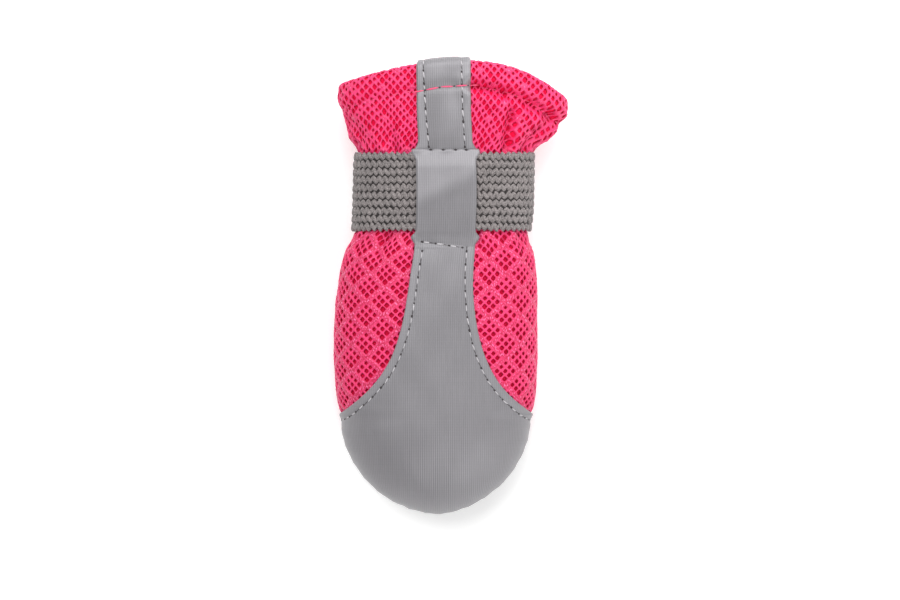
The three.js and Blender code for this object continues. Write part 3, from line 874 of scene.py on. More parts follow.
class Finish(Enum):
    """The finishes of the sock."""

    NET = NetFinish()
    LINING = LiningFinish()
    FACING = FacingFinish()
    YARN = ElasticFinish()
    # Painted shade: the strap's core is nearly black, so the gaps between the knit's loops show as shade.
    CORE = ElasticFinish("elastic_core", (0.022, 0.018, 0.018), 0.9)
    TAPE = TapeFinish()
    LEATHER = LeatherFinish()
    PALE_THREAD = ThreadFinish("pale_thread", (0.49, 0.47, 0.49))
    PINK_THREAD = ThreadFinish("pink_thread", (0.72, 0.06, 0.16))
    BLACK_THREAD = ThreadFinish("black_thread", (0.02, 0.02, 0.02))
    # Painted shade: dark lumps for needle holes, the threads' sunk ends and the keeper's nipped notches.
    NEEDLE_HOLE = ThreadFinish("needle_hole", (0.034, 0.028, 0.031), 0.9)
    FLOOR = FloorFinish()


class Slot(Enum):
    """The record's material slots."""

    MESH = "mesh"
    FACING = "facing"
    LEATHER = "leatherette"
    ELASTIC = "elastic"
    TAPE = "tape"


@dataclass
class Lumps:
    """Small rounded shapes: half sizes along, across and up, and the directions of each."""

    centres: Array
    forward: Array
    up: Array
    sizes: Array
    sides: int = 8
    rings: int = 6

    def parts(self) -> tuple[Array, ...]:
        """What is kept of each lump, one lump a row."""
        return self.centres, self.forward, self.up, self.sizes

    def after(self, first: int) -> "Lumps":
        """These lumps without the first ones."""
        return Lumps(*(part[first:] for part in self.parts()), self.sides, self.rings)

    def joined(self, other: "Lumps") -> "Lumps":
        """These lumps and some others."""
        pairs = zip(self.parts(), other.parts())
        return Lumps(*(np.concatenate(pair) for pair in pairs), self.sides, self.rings)


def lump_tree() -> bpy.types.NodeTree:
    """The Geometry Nodes tree that puts a rounded lump on each point, made once.

    Returns:
        The tree, with inputs for the lump's sides, rings and finish.
    """
    if "lumps" in bpy.data.node_groups:
        return bpy.data.node_groups["lumps"]
    tree = bpy.data.node_groups.new("lumps", "GeometryNodeTree")
    ends = (("Geometry", "Geometry"), ("Sides", "Int"), ("Rings", "Int"), ("Finish", "Material"))
    for name, kind in ends:
        tree.interface.new_socket(name, in_out="INPUT", socket_type=f"NodeSocket{kind}")
    tree.interface.new_socket("Geometry", in_out="OUTPUT", socket_type="NodeSocketGeometry")
    nodes = Nodes(tree)
    start, end = tree.nodes.new("NodeGroupInput"), tree.nodes.new("NodeGroupOutput")
    points, sides, rings, finish = (Socket(nodes, start.outputs[name]) for name, _ in ends)
    named, vector = "GeometryNodeInputNamedAttribute", {"data_type": "FLOAT_VECTOR"}
    keys = ("forward", "up", "size")
    forward, up, size = (nodes.add(named, vector, {"Name": key}, "Attribute") for key in keys)
    axes = {"primary_axis": "Z", "secondary_axis": "X"}
    rotation = nodes.add("FunctionNodeAxesToRotation", axes, {0: up, 1: forward})
    ball = nodes.add("GeometryNodeMeshUVSphere", {}, {"Segments": sides, "Rings": rings, "Radius": 1.0})
    half_side = nodes.add("ShaderNodeCombineXYZ", {}, {"Z": nodes.math("DIVIDE", np.pi, sides)})
    blunt = nodes.add("GeometryNodeTransform", {}, {"Geometry": ball, "Rotation": half_side})
    lump = nodes.add("GeometryNodeSetShadeSmooth", {}, {"Geometry": blunt})
    places = {"Points": points, "Instance": lump, "Rotation": rotation, "Scale": size}
    lumps = nodes.add("GeometryNodeInstanceOnPoints", {}, places)
    real = nodes.add("GeometryNodeRealizeInstances", {}, {"Geometry": lumps})
    dressed = nodes.add("GeometryNodeSetMaterial", {}, {"Geometry": real, "Material": finish})
    nodes.feed(end.inputs["Geometry"], dressed)
    return tree


@dataclass
class Sheet:
    """A closed sheet between two grids of points, with a cloth map in millimetres.

    keep masks the cells that are there, wrap joins the last column to the first, seam counts the first rows
    whose two side edges meet, and the last holds painted highlight and painted shade for the cloth's colour.
    """

    outer: Array
    inner: Array
    cloth: Array
    keep: Array | None = None
    wrap: bool = False
    seam: int = 0
    gloss: Array | None = None

    def quads(self) -> Array:
        """The faces of both sides and along bare edges; inner points are numbered after outer ones."""
        rows, wide = self.outer.shape[:2]
        size = rows * wide
        keep = np.ones((rows - 1, wide - 1 + self.wrap), bool) if self.keep is None else self.keep
        r, c = np.nonzero(keep)
        a, b = r * wide + c, r * wide + (c + 1) % wide
        d, e = b + wide, a + wide
        quads = [abreast(a, b, d, e), abreast(e, d, b, a) + size]
        beside = np.pad(keep, 1)
        if self.wrap:
            beside[1:-1, 0], beside[1:-1, -1] = keep[:, -1], keep[:, 0]
        else:
            beside[1 : self.seam + 1, 0] = beside[1 : self.seam + 1, -1] = True
        for right, up, first, second in ((0, -1, a, b), (1, 0, b, d), (0, 1, d, e), (-1, 0, e, a)):
            bare = ~beside[r + 1 + up, c + 1 + right]
            first, second = first[bare], second[bare]
            quads.append(abreast(second, first, first + size, second + size))
        return np.concatenate(quads)


def put(name: str, data: bpy.types.ID) -> Item:
    """A new object in the scene."""
    item = bpy.data.objects.new(name, data)
    bpy.context.scene.collection.objects.link(item)
    return item


def register(item: Item, node: str = "") -> None:
    """Tell the frame about a piece: its body and the solid it stands for."""
    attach(item, ROOT)
    if node:
        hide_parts(node)
    LOG.info("%s: %d faces", item.name, len(item.data.polygons))


@dataclass
class Stage:
    """What the pieces share: the form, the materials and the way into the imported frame."""

    form: Form
    materials: dict[Finish, Material] = field(default_factory=dict)
    origin: Array = field(init=False)

    def __post_init__(self) -> None:
        """Find the sock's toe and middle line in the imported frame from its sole."""
        low, high = (np.array(corner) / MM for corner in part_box("sole"))
        self.origin = np.array([(low[0] + high[0]) / 2, high[1] - self.form.sole_heel, 0.0])

    def material(self, finish: Finish) -> Material:
        """The material of a finish, made once."""
        if finish not in self.materials:
            self.materials[finish] = finish.value.make()
        return self.materials[finish]

    def metres(self, points: Array) -> Array:
        """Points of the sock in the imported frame."""
        return (np.asarray(points).reshape(-1, 3) + self.origin) * MM

    def mesh_object(self, name: str, points: Array, faces: Sequence[Array], finish: Finish) -> Item:
        """Make a smooth mesh object.

        Args:
            name: The object's name.
            points: Its points, in millimetres.
            faces: Blocks of faces, each with one number of corners.
            finish: Its finish.

        Returns:
            The object, in the scene.
        """
        mesh = bpy.data.meshes.new(name)
        corners = [face for block in faces for face in block.tolist()]
        mesh.from_pydata(self.metres(points).tolist(), [], corners)
        mesh.shade_smooth()
        mesh.materials.append(self.material(finish))
        return put(name, mesh)

    def map_cloth(self, item: Item, cloth: Array) -> None:
        """Give a piece its cloth map from one place for each point."""
        mesh = item.data
        layer = mesh.uv_layers.new(name="cloth")
        corners = np.empty(len(mesh.loops), np.int32)
        mesh.loops.foreach_get("vertex_index", corners)
        layer.uv.foreach_set("vector", cloth.reshape(-1, 2)[corners].astype(np.float32).ravel())

    def mark(self, item: Item, key: str, values: Array) -> None:
        """Give a piece a value for each of its points."""
        layer = item.data.attributes.new(key, "FLOAT", "POINT")
        layer.data.foreach_set("value", values.astype(np.float32).ravel())

    def weld(self, item: Item, distance: float = 2e-6) -> None:
        """Merge the points that meet."""
        work = bmesh.new()
        work.from_mesh(item.data)
        bmesh.ops.remove_doubles(work, verts=work.verts, dist=distance)
        bmesh.ops.dissolve_degenerate(work, edges=work.edges, dist=distance / 2)
        work.to_mesh(item.data)
        work.free()

    def shell(self, name: str, sheet: Sheet, finish: Finish) -> Item:
        """Make the object of a sheet.

        Args:
            name: The object's name.
            sheet: Its points and its cloth.
            finish: Its finish.

        Returns:
            The object, in the scene.
        """
        points = np.concatenate([sheet.outer.reshape(-1, 3), sheet.inner.reshape(-1, 3)])
        item = self.mesh_object(name, points, [sheet.quads()], finish)
        self.map_cloth(item, np.concatenate([sheet.cloth.reshape(-1, 2)] * 2))
        # Painted highlight and painted shade, carried to the facing's colour.
        if sheet.gloss is not None:
            self.mark(item, "gloss", np.concatenate([sheet.gloss] * 2))
        self.weld(item)
        return item

    def repeat(self, name: str, lumps: Lumps, finish: Finish) -> Item:
        """Make a run of small rounded lumps with Geometry Nodes.

        Args:
            name: The object's name.
            lumps: Their places, directions and sizes.
            finish: Their finish.

        Returns:
            The object, a plain mesh.
        """
        mesh = bpy.data.meshes.new(name)
        mesh.from_pydata(self.metres(lumps.centres).tolist(), [], [])
        for key, values in (("forward", lumps.forward), ("up", lumps.up), ("size", lumps.sizes * MM)):
            layer = mesh.attributes.new(key, "FLOAT_VECTOR", "POINT")
            layer.data.foreach_set("vector", values.astype(np.float32).ravel())
        item = put(name, mesh)
        tree = lump_tree()
        modifier = item.modifiers.new("lumps", "NODES")
        modifier.node_group = tree
        values = {"Sides": lumps.sides, "Rings": lumps.rings, "Finish": self.material(finish)}
        for socket in tree.interface.items_tree:
            if socket.name in values:
                modifier[socket.identifier] = values[socket.name]
        ready = item.evaluated_get(bpy.context.evaluated_depsgraph_get())
        plain = bpy.data.meshes.new_from_object(ready)
        item.modifiers.remove(modifier)
        item.data = plain
        plain.name = name
        return item

    def sew(self, name: str, threads: Lumps, holes: Lumps, finish: Finish, slot: Slot) -> None:
        """Make and register the stitches of a seam and the dark lumps of painted shade at its needle holes.
        """
        register(self.repeat(f"{name}_stitches", threads, finish))
        register(self.repeat(f"{name}_needle_holes", holes, Finish.NEEDLE_HOLE))


@dataclass
class Seam:
    """A line of stitches: its path, the directions out of the cloth there and a stitch's pitch."""

    path: Array
    up: Array
    pitch: float

    @classmethod
    def on_cloth(cls, form: Form, angle: Array, run: Array, lift: Array | float, pitch: float) -> "Seam":
        """A seam along angles and runs of the cloth, at a distance off the mesh."""
        path = form.cloth(angle, run, lift)
        return cls(path, form.cloth(angle, run, lift + 0.2) - path, pitch)

    def at(self, phase: float) -> tuple[Array, Array, Array]:
        """Even places along the seam.

        Args:
            phase: Place of the first one, as a share of the pitch.

        Returns:
            The points, the directions along the seam and the directions out of the cloth.
        """
        covered = travelled(self.path)
        count = max(1, int(round(covered[-1] / self.pitch)))
        goals = (np.arange(count) + phase) * covered[-1] / count
        step = 0.3
        forward = read_off(self.path, covered, goals + step) - read_off(self.path, covered, goals - step)
        return read_off(self.path, covered, goals), unit(forward), unit(read_off(self.up, covered, goals))


@dataclass(frozen=True)
class Stitch:
    """Half sizes of a stitch, its sunk end and its needle hole, with its place, its tip and its slant."""

    length: float = 1.3
    width: float = 0.19
    height: float = 0.16
    hole: float = 0.33
    hole_gains: Pair = (1.2, 0.8)
    hole_depth: float = 0.1
    sunk_gain: float = 0.8
    sunk_half: Pair = (0.09, 0.08)
    phase: float = 0.5
    tip: float = 0.0
    slant: float = 0.0
    wander: float = 0.05

    def threads(self, seams: Sequence[Seam]) -> Lumps:
        """The threads of some seams."""
        return self.lumps(seams, self.phase, (self.length, self.width, self.height))

    def sunk(self, seams: Sequence[Seam]) -> Lumps:
        """Painted shadow: dark strokes at the threads' ends, where they sink into the cloth."""
        return self.lumps(seams, 1 - self.phase, (self.sunk_gain * self.length, *self.sunk_half))

    def holes(self, seams: Sequence[Seam]) -> Lumps:
        """Painted shade: dark dots for the needle holes of some seams."""
        return self.lumps(seams, 0.0, (*(self.hole * gain for gain in self.hole_gains), self.hole_depth))

    def lumps(self, seams: Sequence[Seam], phase: float, size: Sequence[float]) -> Lumps:
        """Lumps of one size along some seams.

        Args:
            seams: The seams.
            phase: Place of the first lump, as a share of the pitch.
            size: Half sizes along, across and up.

        Returns:
            The lumps, with small differences between them.
        """
        points, forward, up = (np.concatenate(part) for part in zip(*(seam.at(phase) for seam in seams)))
        rng = np.random.default_rng(SEED + 2)
        aslant = self.slant + rng.normal(0, self.wander, (len(points), 1))
        gain = 1 + rng.normal(0, 2 * self.wander, (len(points), 1))
        forward = unit(forward + self.tip * up + aslant * np.cross(up, forward))
        return Lumps(points, forward, up, gain * np.array(size))


HOLE_RING = np.array([(2, 0), (1, 1), (0, 2), (-1, 1), (-2, 0), (-1, -1), (0, -2), (1, -1)])
RING = len(HOLE_RING)


@dataclass
class Cells:
    """The net's diamond cells: their places, which are open, how wide, and their corners' knots."""

    a: Array
    b: Array
    holed: Array
    gain: Array
    corner: Array
    knot_a: Array
    knot_b: Array


@dataclass
class Layer:
    """Points on one face of the net, and how far each belongs to the web round the holes."""

    share: Array
    run: Array
    lift: Array | float
    web: Array
    hole_edge: bool = False


@dataclass
class Upper:
    """The mesh: a net of real holes over its lining, with the hem's stitching."""

    stage: Stage
    columns: int = 112
    cluster: int = 4
    step_across: float = 1.18
    step_along: float = 0.877
    stretch: float = 0.17
    runs: Pair = (20.0, 130.0)
    hole_across: float = 0.72
    hole_along: float = 0.68
    hole_corner: float = 0.86
    hole_gain: float = 1.1
    hole_taper: float = 0.08
    band_gain: float = 0.62
    knot_wander: Triple = (0.0005, 0.045, 0.02)
    hole_wander: Triple = (0.05, 0.0004, 0.04)
    shut_wander: float = 0.04
    knot_lift: float = 0.02
    web_lift: float = 0.1
    shut_lift: float = 0.05
    hole_lift: float = -0.03
    hole_webs: Pair = (0.7, 0.25)
    depth: float = 0.5
    drawn: float = 0.22
    drawn_reach: float = 11.0
    closed_up: float = 0.3
    closed_ease: float = 6.0
    drawn_out: float = 0.16
    gathers: tuple[Wave, ...] = (Wave(0.0035, 6, 1.0), Wave(0.0022, 13, 0.5))
    sway: Wave = Wave(0.5, 3, 2.0)
    sway_twist: float = 0.05
    sway_shares: Pair = (0.3, 0.5)
    lap: float = 2.0
    strap_lap: float = 2.2
    strip_lap: float = 1.8
    hem_inside: float = 5.5
    hem_rise: float = 0.06
    hem_ends: Pair = (-8.2, 9.3)
    hem_lift: float = 0.97
    hem_step: float = 0.8
    hem_step_ease: Pair = (0.7, 2.2)
    hem_pitch: float = 3.55
    mesh_hem_lift: float = -0.04
    mesh_hem_pitch: float = 2.9
    lining_out: float = -0.57
    lining_in: float = -1.8
    lining_thinner: float = 0.6
    lining_ease: Pair = (-9.0, -7.0)
    lining_columns: int = 180
    lining_shares: Pair = (0.21, 0.74)
    lining_inside: tuple[float, ...] = (1.5, 3.0, 4.5, 6.0)
    window_half: float = 16.3
    window: Pair = (8.0, 58.0)
    key_step: int = 10000

    def build(self) -> None:
        """Make and dress the pieces of the upper."""
        register(self.net(), "upper")
        register(self.lining())
        over_strip, on_mesh = self.hem_seams()
        stitch = Stitch(1.7, 0.21, 0.17, hole=0.26)
        threads = stitch.threads([over_strip]).joined(Stitch(1.0, 0.15, 0.13).threads([on_mesh]))
        holes = stitch.holes([over_strip]).after(1)
        self.stage.sew("hem", threads, holes, Finish.PINK_THREAD, Slot.MESH)

    def around(self) -> float:
        """The net's length round the sock, as cloth."""
        return self.columns * self.step_across

    def hidden(self, share: Array, run: Array) -> Array:
        """Whether places of the net lie well under another piece, or past the hem's inner edge."""
        form = self.stage.form
        share, run = self.gathered(share, run)
        angle = form.angle_of_share(share, np.minimum(run, form.rim_top))
        radius = form.hem_wall / 2
        base = form.rim(angle) - radius
        flat = np.minimum(run, base)
        across = np.abs(form.point(angle, flat)[:, 0] - form.facing_middle(flat))
        front = np.cos(angle) > 0
        cap = front & (across < form.cap_edge(run) - self.lap) & (run < form.strap_from)
        strap = form.clear_of_strap(run) < -self.strap_lap
        strip = front & (across < form.strip_half - self.strip_lap) & (run > form.strap_to)
        sole = ~front & (across < form.sole_edge(run) - self.lap) & (run < form.sole_heel - self.lap)
        past = run > base + np.pi * radius + self.hem_inside
        return cap | strap | strip | sole | past

    def near_strap(self, run: Array) -> Array:
        """How strongly the strap draws the mesh along the sock: 1 under it, fading away from it."""
        return np.exp(-np.maximum(self.stage.form.clear_of_strap(run), 0) / self.drawn_reach)

    def gathered(self, share: Array, run: Array) -> tuple[Array, Array]:
        """The lattice with its columns closed up at the collar's front and its rows drawn out there."""
        strap_to = self.stage.form.strap_to
        front = self.closed_up * smooth(run, strap_to - self.closed_ease, strap_to + self.closed_ease)
        closer = share - front * np.sin(2 * np.pi * share) / (2 * np.pi)
        return closer, run + self.drawn_out * np.maximum(run - strap_to, 0)

    def place(self, share: Array, run: Array, lift: Array | float) -> Array:
        """Points of the net at shares of the way round."""
        form = self.stage.form
        share, run = self.gathered(share, run)
        near = self.near_strap(run)
        turn = 2 * np.pi * share
        away, more = self.sway_shares
        run = run + (away + more * near) * self.sway.at(turn + self.sway_twist * run)
        share = share + near * sum(wave.at(turn) for wave in self.gathers)
        return form.cloth(form.angle_of_share(share, np.minimum(run, form.rim_top)), run, lift)

    def stretched_run(self, a: Array, b: Array) -> Array:
        """Runs of lattice points, with the clusters of holes drawn out lengthways."""
        half, outer = self.cluster / 2, (self.cluster - 1) / 2
        shift = np.zeros(np.shape(a))
        for step in ((a + b) / 2, (b - a) / 2):
            off = (step - 1 + half) % self.cluster - half
            back = np.sign(off) * (half - np.abs(off)) * outer / (half - outer)
            shift = shift + np.where(np.abs(off) <= outer, off, back)
        return (b + self.stretch * shift) * self.step_along

    def net(self) -> Item:
        """The holed net: a lattice of diamond cells, open in clusters of three by three."""
        rng = np.random.default_rng(SEED)
        cells = self.cells()
        makers = (self.knot_layers, self.hole_layers, self.shut_layers)
        layers = [layer for maker in makers for layer in maker(cells, rng)]
        points = np.concatenate([self.place(layer.share, layer.run, layer.lift) for layer in layers])
        cloth = np.concatenate([abreast(layer.share * self.around(), layer.run) for layer in layers])
        edges = np.concatenate([np.full(len(layer.run), layer.hole_edge) for layer in layers])
        item = self.stage.mesh_object("upper_net", points, self.faces(cells), Finish.NET)
        self.stage.map_cloth(item, cloth)
        self.stage.mark(item, "web", np.concatenate([layer.web for layer in layers]))
        self.stage.mark(item, "hole_edge", edges)
        return item

    def cells(self) -> Cells:
        """The cells that aren't hidden; bands between clusters are shut, or open less in the collar."""
        rows = np.arange(*(int(run / self.step_along) for run in self.runs))
        a, b = (grid.ravel() for grid in np.meshgrid(np.arange(self.columns), rows))
        there = ((a + b) % 2 == 0) & ~self.hidden(a / self.columns, b * self.step_along)
        a, b = a[there], b[there]
        i, j = (a + b) // 2 % self.cluster, (b - a) // 2 % self.cluster
        in_band, cross_band = i == self.cluster - 1, j == self.cluster - 1
        banded = in_band | cross_band
        collar = b * self.step_along > self.stage.form.strap_to
        holed = ~banded | (collar & (in_band != cross_band))
        gain = np.where(banded, self.band_gain, self.hole_gain - self.hole_taper * (i + j))
        p = (2 * a[:, None] + HOLE_RING[:, 0]) % (2 * self.columns)
        q = 2 * b[:, None] + HOLE_RING[:, 1]
        keys, corner = np.unique(p * self.key_step + q, return_inverse=True)
        knot_a, knot_b = (part / 2 for part in np.divmod(keys, self.key_step))
        return Cells(a, b, holed, gain, corner.reshape(p.shape), knot_a, knot_b)

    def knot_layers(self, cells: Cells, rng: np.random.Generator) -> list[Layer]:
        """The two faces of the knots at the cells' corners."""
        count = len(cells.knot_a)
        share_wander, run_wander, lift_wander = self.knot_wander
        share = cells.knot_a / self.columns + rng.normal(0, share_wander, count)
        run = self.stretched_run(cells.knot_a, cells.knot_b) + rng.normal(0, run_wander, count)
        beside = np.bincount(cells.corner.ravel(), minlength=count)
        web = np.bincount(cells.corner[cells.holed].ravel(), minlength=count) / beside
        crown = self.knot_lift + self.web_lift * web + rng.normal(0, lift_wander, count)
        return [Layer(share, run, crown, web), Layer(share, run, -self.depth, 0 * web)]

    def hole_layers(self, cells: Cells, rng: np.random.Generator) -> list[Layer]:
        """The two edges of the holes, each a ring of points."""
        a, b = cells.a[cells.holed], cells.b[cells.holed]
        gain_wander, share_wander, run_wander = self.hole_wander
        turn = np.arange(RING) * 2 * np.pi / RING
        reach = np.where(np.arange(RING) % 2, self.hole_corner, 1.0)
        gain = (cells.gain[cells.holed] + rng.normal(0, gain_wander, len(a)))[:, None] * reach
        share = a / self.columns + rng.normal(0, share_wander, len(a))
        run = self.stretched_run(a, b) + rng.normal(0, run_wander, len(a))
        drawn = self.drawn * self.near_strap(run)[:, None]
        across = (1 - drawn / 2) * gain * np.cos(turn) * self.hole_across
        ring_share = (share[:, None] + across / self.around()).ravel()
        ring_run = (run[:, None] + (1 + drawn) * gain * np.sin(turn) * self.hole_along).ravel()
        webs = (np.full(len(ring_run), web) for web in self.hole_webs)
        faces = zip((self.hole_lift, -self.depth), webs)
        return [Layer(ring_share, ring_run, lift, web, hole_edge=True) for lift, web in faces]

    def shut_layers(self, cells: Cells, rng: np.random.Generator) -> list[Layer]:
        """The two faces at the middles of the shut cells."""
        a, b = cells.a[~cells.holed], cells.b[~cells.holed]
        run = self.stretched_run(a, b)
        crest = self.shut_lift + rng.normal(0, self.shut_wander, len(run))
        return [Layer(a / self.columns, run, lift, 0 * run) for lift in (crest, -self.depth)]

    def faces(self, cells: Cells) -> list[Array]:
        """The net's quads, round holes and along bare edges, and the triangles of its shut cells."""
        knots = len(cells.knot_a)
        opened, shut = cells.corner[cells.holed], cells.corner[~cells.holed]
        rim = 2 * knots + np.arange(opened.size).reshape(opened.shape)
        deep = rim + opened.size
        crest = 2 * (knots + opened.size) + np.arange(len(shut))
        rings = (opened, rim, deep, opened + knots)
        quads, triangles, edges = [], [], []
        for k in range(RING):
            n = (k + 1) % RING
            for near, far in zip(rings[:-1], rings[1:]):
                quads.append(abreast(near[:, k], near[:, n], far[:, n], far[:, k]))
            triangles.append(abreast(shut[:, k], shut[:, n], crest))
            triangles.append(abreast(shut[:, n] + knots, shut[:, k] + knots, crest + len(shut)))
            edges.append(cells.corner[:, [k, n]])
        edges = np.concatenate(edges)
        code = edges.min(1) * knots + edges.max(1)
        _, back, uses = np.unique(code, return_inverse=True, return_counts=True)
        bare = edges[uses[back.ravel()] == 1]
        quads.append(np.concatenate([bare[:, ::-1], bare + knots], 1))
        return [np.concatenate(quads), np.concatenate(triangles)]

    def lining(self) -> Item:
        """The mesh's inner face: a cup with a folded rim and a window over the sole."""
        form = self.stage.form
        radius = form.hem_wall / 2
        share = np.arange(self.lining_columns) / self.lining_columns
        base = form.rim(form.angle_of_share(share, form.rim_top)) - radius
        toe, body = self.lining_shares
        nose = nose_rows(0.0, toe, 16)
        climb = np.concatenate([nose, np.linspace(toe, body, 40)[1:], np.linspace(body, 1, 56)[1:]])
        rows = [form.toe_tip + part * (base - form.toe_tip) for part in climb]
        rows += [base + radius * turn for turn in np.linspace(0, np.pi, 9)[1:]]
        rows += [base + np.pi * radius + inside for inside in self.lining_inside]
        run = np.array(rows)
        shares = np.broadcast_to(share, run.shape)
        angle = form.angle_of_share(shares, np.minimum(run, base))
        thinner = smooth(run - base, *self.lining_ease) * self.lining_thinner
        outer = form.cloth(angle, run, self.lining_out)
        inner = form.cloth(angle, run, self.lining_in + thinner)
        middle = form.point(angle, np.minimum(run, base))
        under = (np.cos(angle) < 0) & (np.abs(middle[..., 0]) < self.window_half)
        under &= (run > self.window[0]) & (run < self.window[1])
        cloth = abreast(shares * self.around(), run)
        sheet = Sheet(outer, inner, cloth, keep=~under[:-1], wrap=True)
        return self.stage.shell("upper_lining", sheet, Finish.LINING)

    def hem_seams(self) -> tuple[Seam, Seam]:
        """The stitching of the hem over the collar strip, and on round the mesh."""
        form = self.stage.form
        across = np.linspace(*self.hem_ends, 40)
        ahead = form.angle_of_across(across, np.full(len(across), form.rim_top - form.hem_depth))
        run = form.rim(ahead) - form.hem_depth + self.hem_rise * across
        off_strip = smooth(np.abs(across) - form.strip_half, *self.hem_step_ease)
        lift = self.hem_lift - self.hem_step * off_strip
        over_strip = Seam.on_cloth(form, ahead, run, lift, self.hem_pitch)
        back = np.linspace(ahead[-1], ahead[0] + 2 * np.pi, 240)
        level = form.rim(back) - form.hem_depth
        return over_strip, Seam.on_cloth(form, back, level, self.mesh_hem_lift, self.mesh_hem_pitch)


@dataclass
class Facing:
    """What the toe cap and the collar strip share: the cloth's two faces and its rounded edge."""

    stage: Stage
    inner: float = 0.15
    outer: float = 0.9
    edge_round: float = 0.3
    edge_share: float = 0.25
    margin_ease: Pair = (0.1, 0.7)

    def thick(self, distance: Array) -> Array:
        """How far the cloth's outside stands off the mesh at distances in from its edge."""
        lip = rounded(distance, self.edge_round)
        return self.inner + (self.outer - self.inner) * (self.edge_share + (1 - self.edge_share) * lip)

    def sew(self, name: str, stitch: Stitch, seams: Sequence[Seam]) -> None:
        """Make and register the stitches of some seams, with painted shade at their sunk ends and needle
        holes.
        """
        holes = stitch.holes(seams).joined(stitch.sunk(seams))
        self.stage.sew(name, stitch.threads(seams), holes, Finish.PALE_THREAD, Slot.FACING)


@dataclass
class ToeCap(Facing):
    """Facing cloth over the toe with a stem up the instep, in one piece."""

    end: float = 72.0
    nose_end: float = 22.0
    corner_end: float = 30.0
    seam_inset: float = 2.1
    seam_end: float = 70.5
    seam_from: float = 22.5
    seam_margin: float = 0.02
    seam_sunk: float = 0.1
    pitch: float = 3.4
    trough: Swell = Swell(0.12, 0.0, 0.5)
    columns: int = 97
    under_slope: float = 0.45
    tuck: float = 0.6
    pucker: float = 0.25
    pucker_count: float = 34.0
    pucker_sway: Wave = Wave(1.5, 4, 0.0)
    pucker_middle: Swell = Swell(1.0, 1.5, 5.0)
    pucker_margin: Pair = (0.3, 2.0)
    pucker_ease: Pair = (1.0, 7.0)
    # Painted highlight: the cap's margins outside its seams are painted lighter, from the toe's corner up.
    margin_gloss: float = 0.22
    gloss_ease: Pair = (24.0, 28.0)

    def build(self) -> None:
        """Make and dress the cap and its stitching."""
        register(self.cap(), "toe_cap")
        stitch = Stitch(0.85, 0.15, 0.15, phase=0.69, tip=0.17, slant=0.08)
        self.sew("cap", stitch, [self.seam(side) for side in (-1, 1)])

    def limit(self, run: Array, side: int) -> Array:
        """How far round the cap's edge lies at each row, on one side."""
        form = self.stage.form
        size = form.sizes(run)
        slanted = form.cap_side() - (form.cap_corner - run) / self.under_slope
        below = np.maximum(form.sole_edge(run) - self.tuck, slanted) / np.maximum(size["half"], TINY)
        under = np.pi - np.arcsin(np.clip(below, 0, 1) ** (size["under"] / 2))
        across = side * np.minimum(form.cap_edge(run), 2 * size["half"])
        above = np.abs(form.angle_of_across(across, run))
        closed = run < form.sole_toe + self.tuck
        return np.where(closed, np.pi, np.where(run < form.cap_corner, under, above))

    def shares(self, run: Array) -> Array:
        """Shares of the way round for each row, even from the middle to the two edges."""
        even = np.linspace(0, 0.5, 121)
        place = np.linspace(-1, 1, self.columns)
        share = np.empty((len(run), self.columns))
        for side in (-1, 1):
            limits = zip(self.limit(run, side), run)
            reach = [np.interp(turn, self.stage.form.angle_of_share(even, row), even) for turn, row in limits]
            here = place * side >= 0
            share[:, here] = np.array(reach)[:, None] * place[here]
        return share

    def cap(self) -> Item:
        """The cap, closed at the tip, with rounded edges and the trough of its seam."""
        form = self.stage.form
        nose = nose_rows(form.toe_tip, self.nose_end, 24)
        corner = np.linspace(self.nose_end + 0.3, self.corner_end, 28)
        run = np.concatenate([nose, corner, np.linspace(self.corner_end + 0.6, self.end, 66)])
        share = self.shares(run)
        runs = np.broadcast_to(run[:, None], share.shape)
        angle = form.angle_of_share(share, runs)
        plain = form.point(angle, runs)
        closed = run < form.sole_toe + self.tuck
        sides = (path_distance(plain.reshape(-1, 3), plain[~closed, column]) for column in (0, -1))
        distance = np.minimum(*sides).reshape(share.shape)
        lift = self.thick(distance) - self.trough.at(distance - self.seam_inset)
        lift = lift + self.puckers(plain[..., 0], runs, distance)
        climb = travelled(abreast(run, form.sizes(run)["high"]))
        climbs = np.broadcast_to(climb[:, None], share.shape)
        cloth = abreast(share * np.interp(runs, form.stations, form.girths), climbs)
        outer, inner = form.cloth(angle, runs, lift), form.cloth(angle, runs, self.inner)
        # Painted highlight along the margins outside the seams.
        margin = smooth(self.seam_inset - distance, *self.margin_ease)
        gloss = self.margin_gloss * margin * smooth(runs, *self.gloss_ease)
        sheet = Sheet(outer, inner, cloth, seam=int(closed.sum()) - 1, gloss=gloss)
        return self.stage.shell("cap", sheet, Finish.FACING)

    def puckers(self, across: Array, run: Array, distance: Array) -> Array:
        """The ripples low round the toe, where the cap is drawn in to the sole."""
        form = self.stage.form
        ahead = np.arctan2(across, form.toe_length - run)
        ripple = np.sin(self.pucker_count * ahead + self.pucker_sway.at(ahead))
        low = self.pucker_middle.at(distance) * smooth(distance, *self.pucker_margin)
        return self.pucker * ripple * low * smooth(form.cap_corner - run, *self.pucker_ease)

    def seam(self, side: int) -> Seam:
        """The stitch line inside one side of the cap's edge."""
        form = self.stage.form
        run = np.linspace(form.cap_corner + 0.2, self.seam_end, 160)
        edge = form.cap_edge(run)
        slope = np.gradient(edge, run)
        length = np.hypot(slope, 1)
        across = edge - self.seam_inset / length
        along = run + self.seam_inset * slope / length
        in_front = across + side * form.facing_lean(along) < form.sizes(along)["half"] - self.seam_margin
        on = in_front & (along > self.seam_from)
        across, along = side * across[on], along[on]
        angle = form.angle_of_across(across, along)
        return Seam.on_cloth(form, angle, along, self.outer - self.seam_sunk, self.pitch)


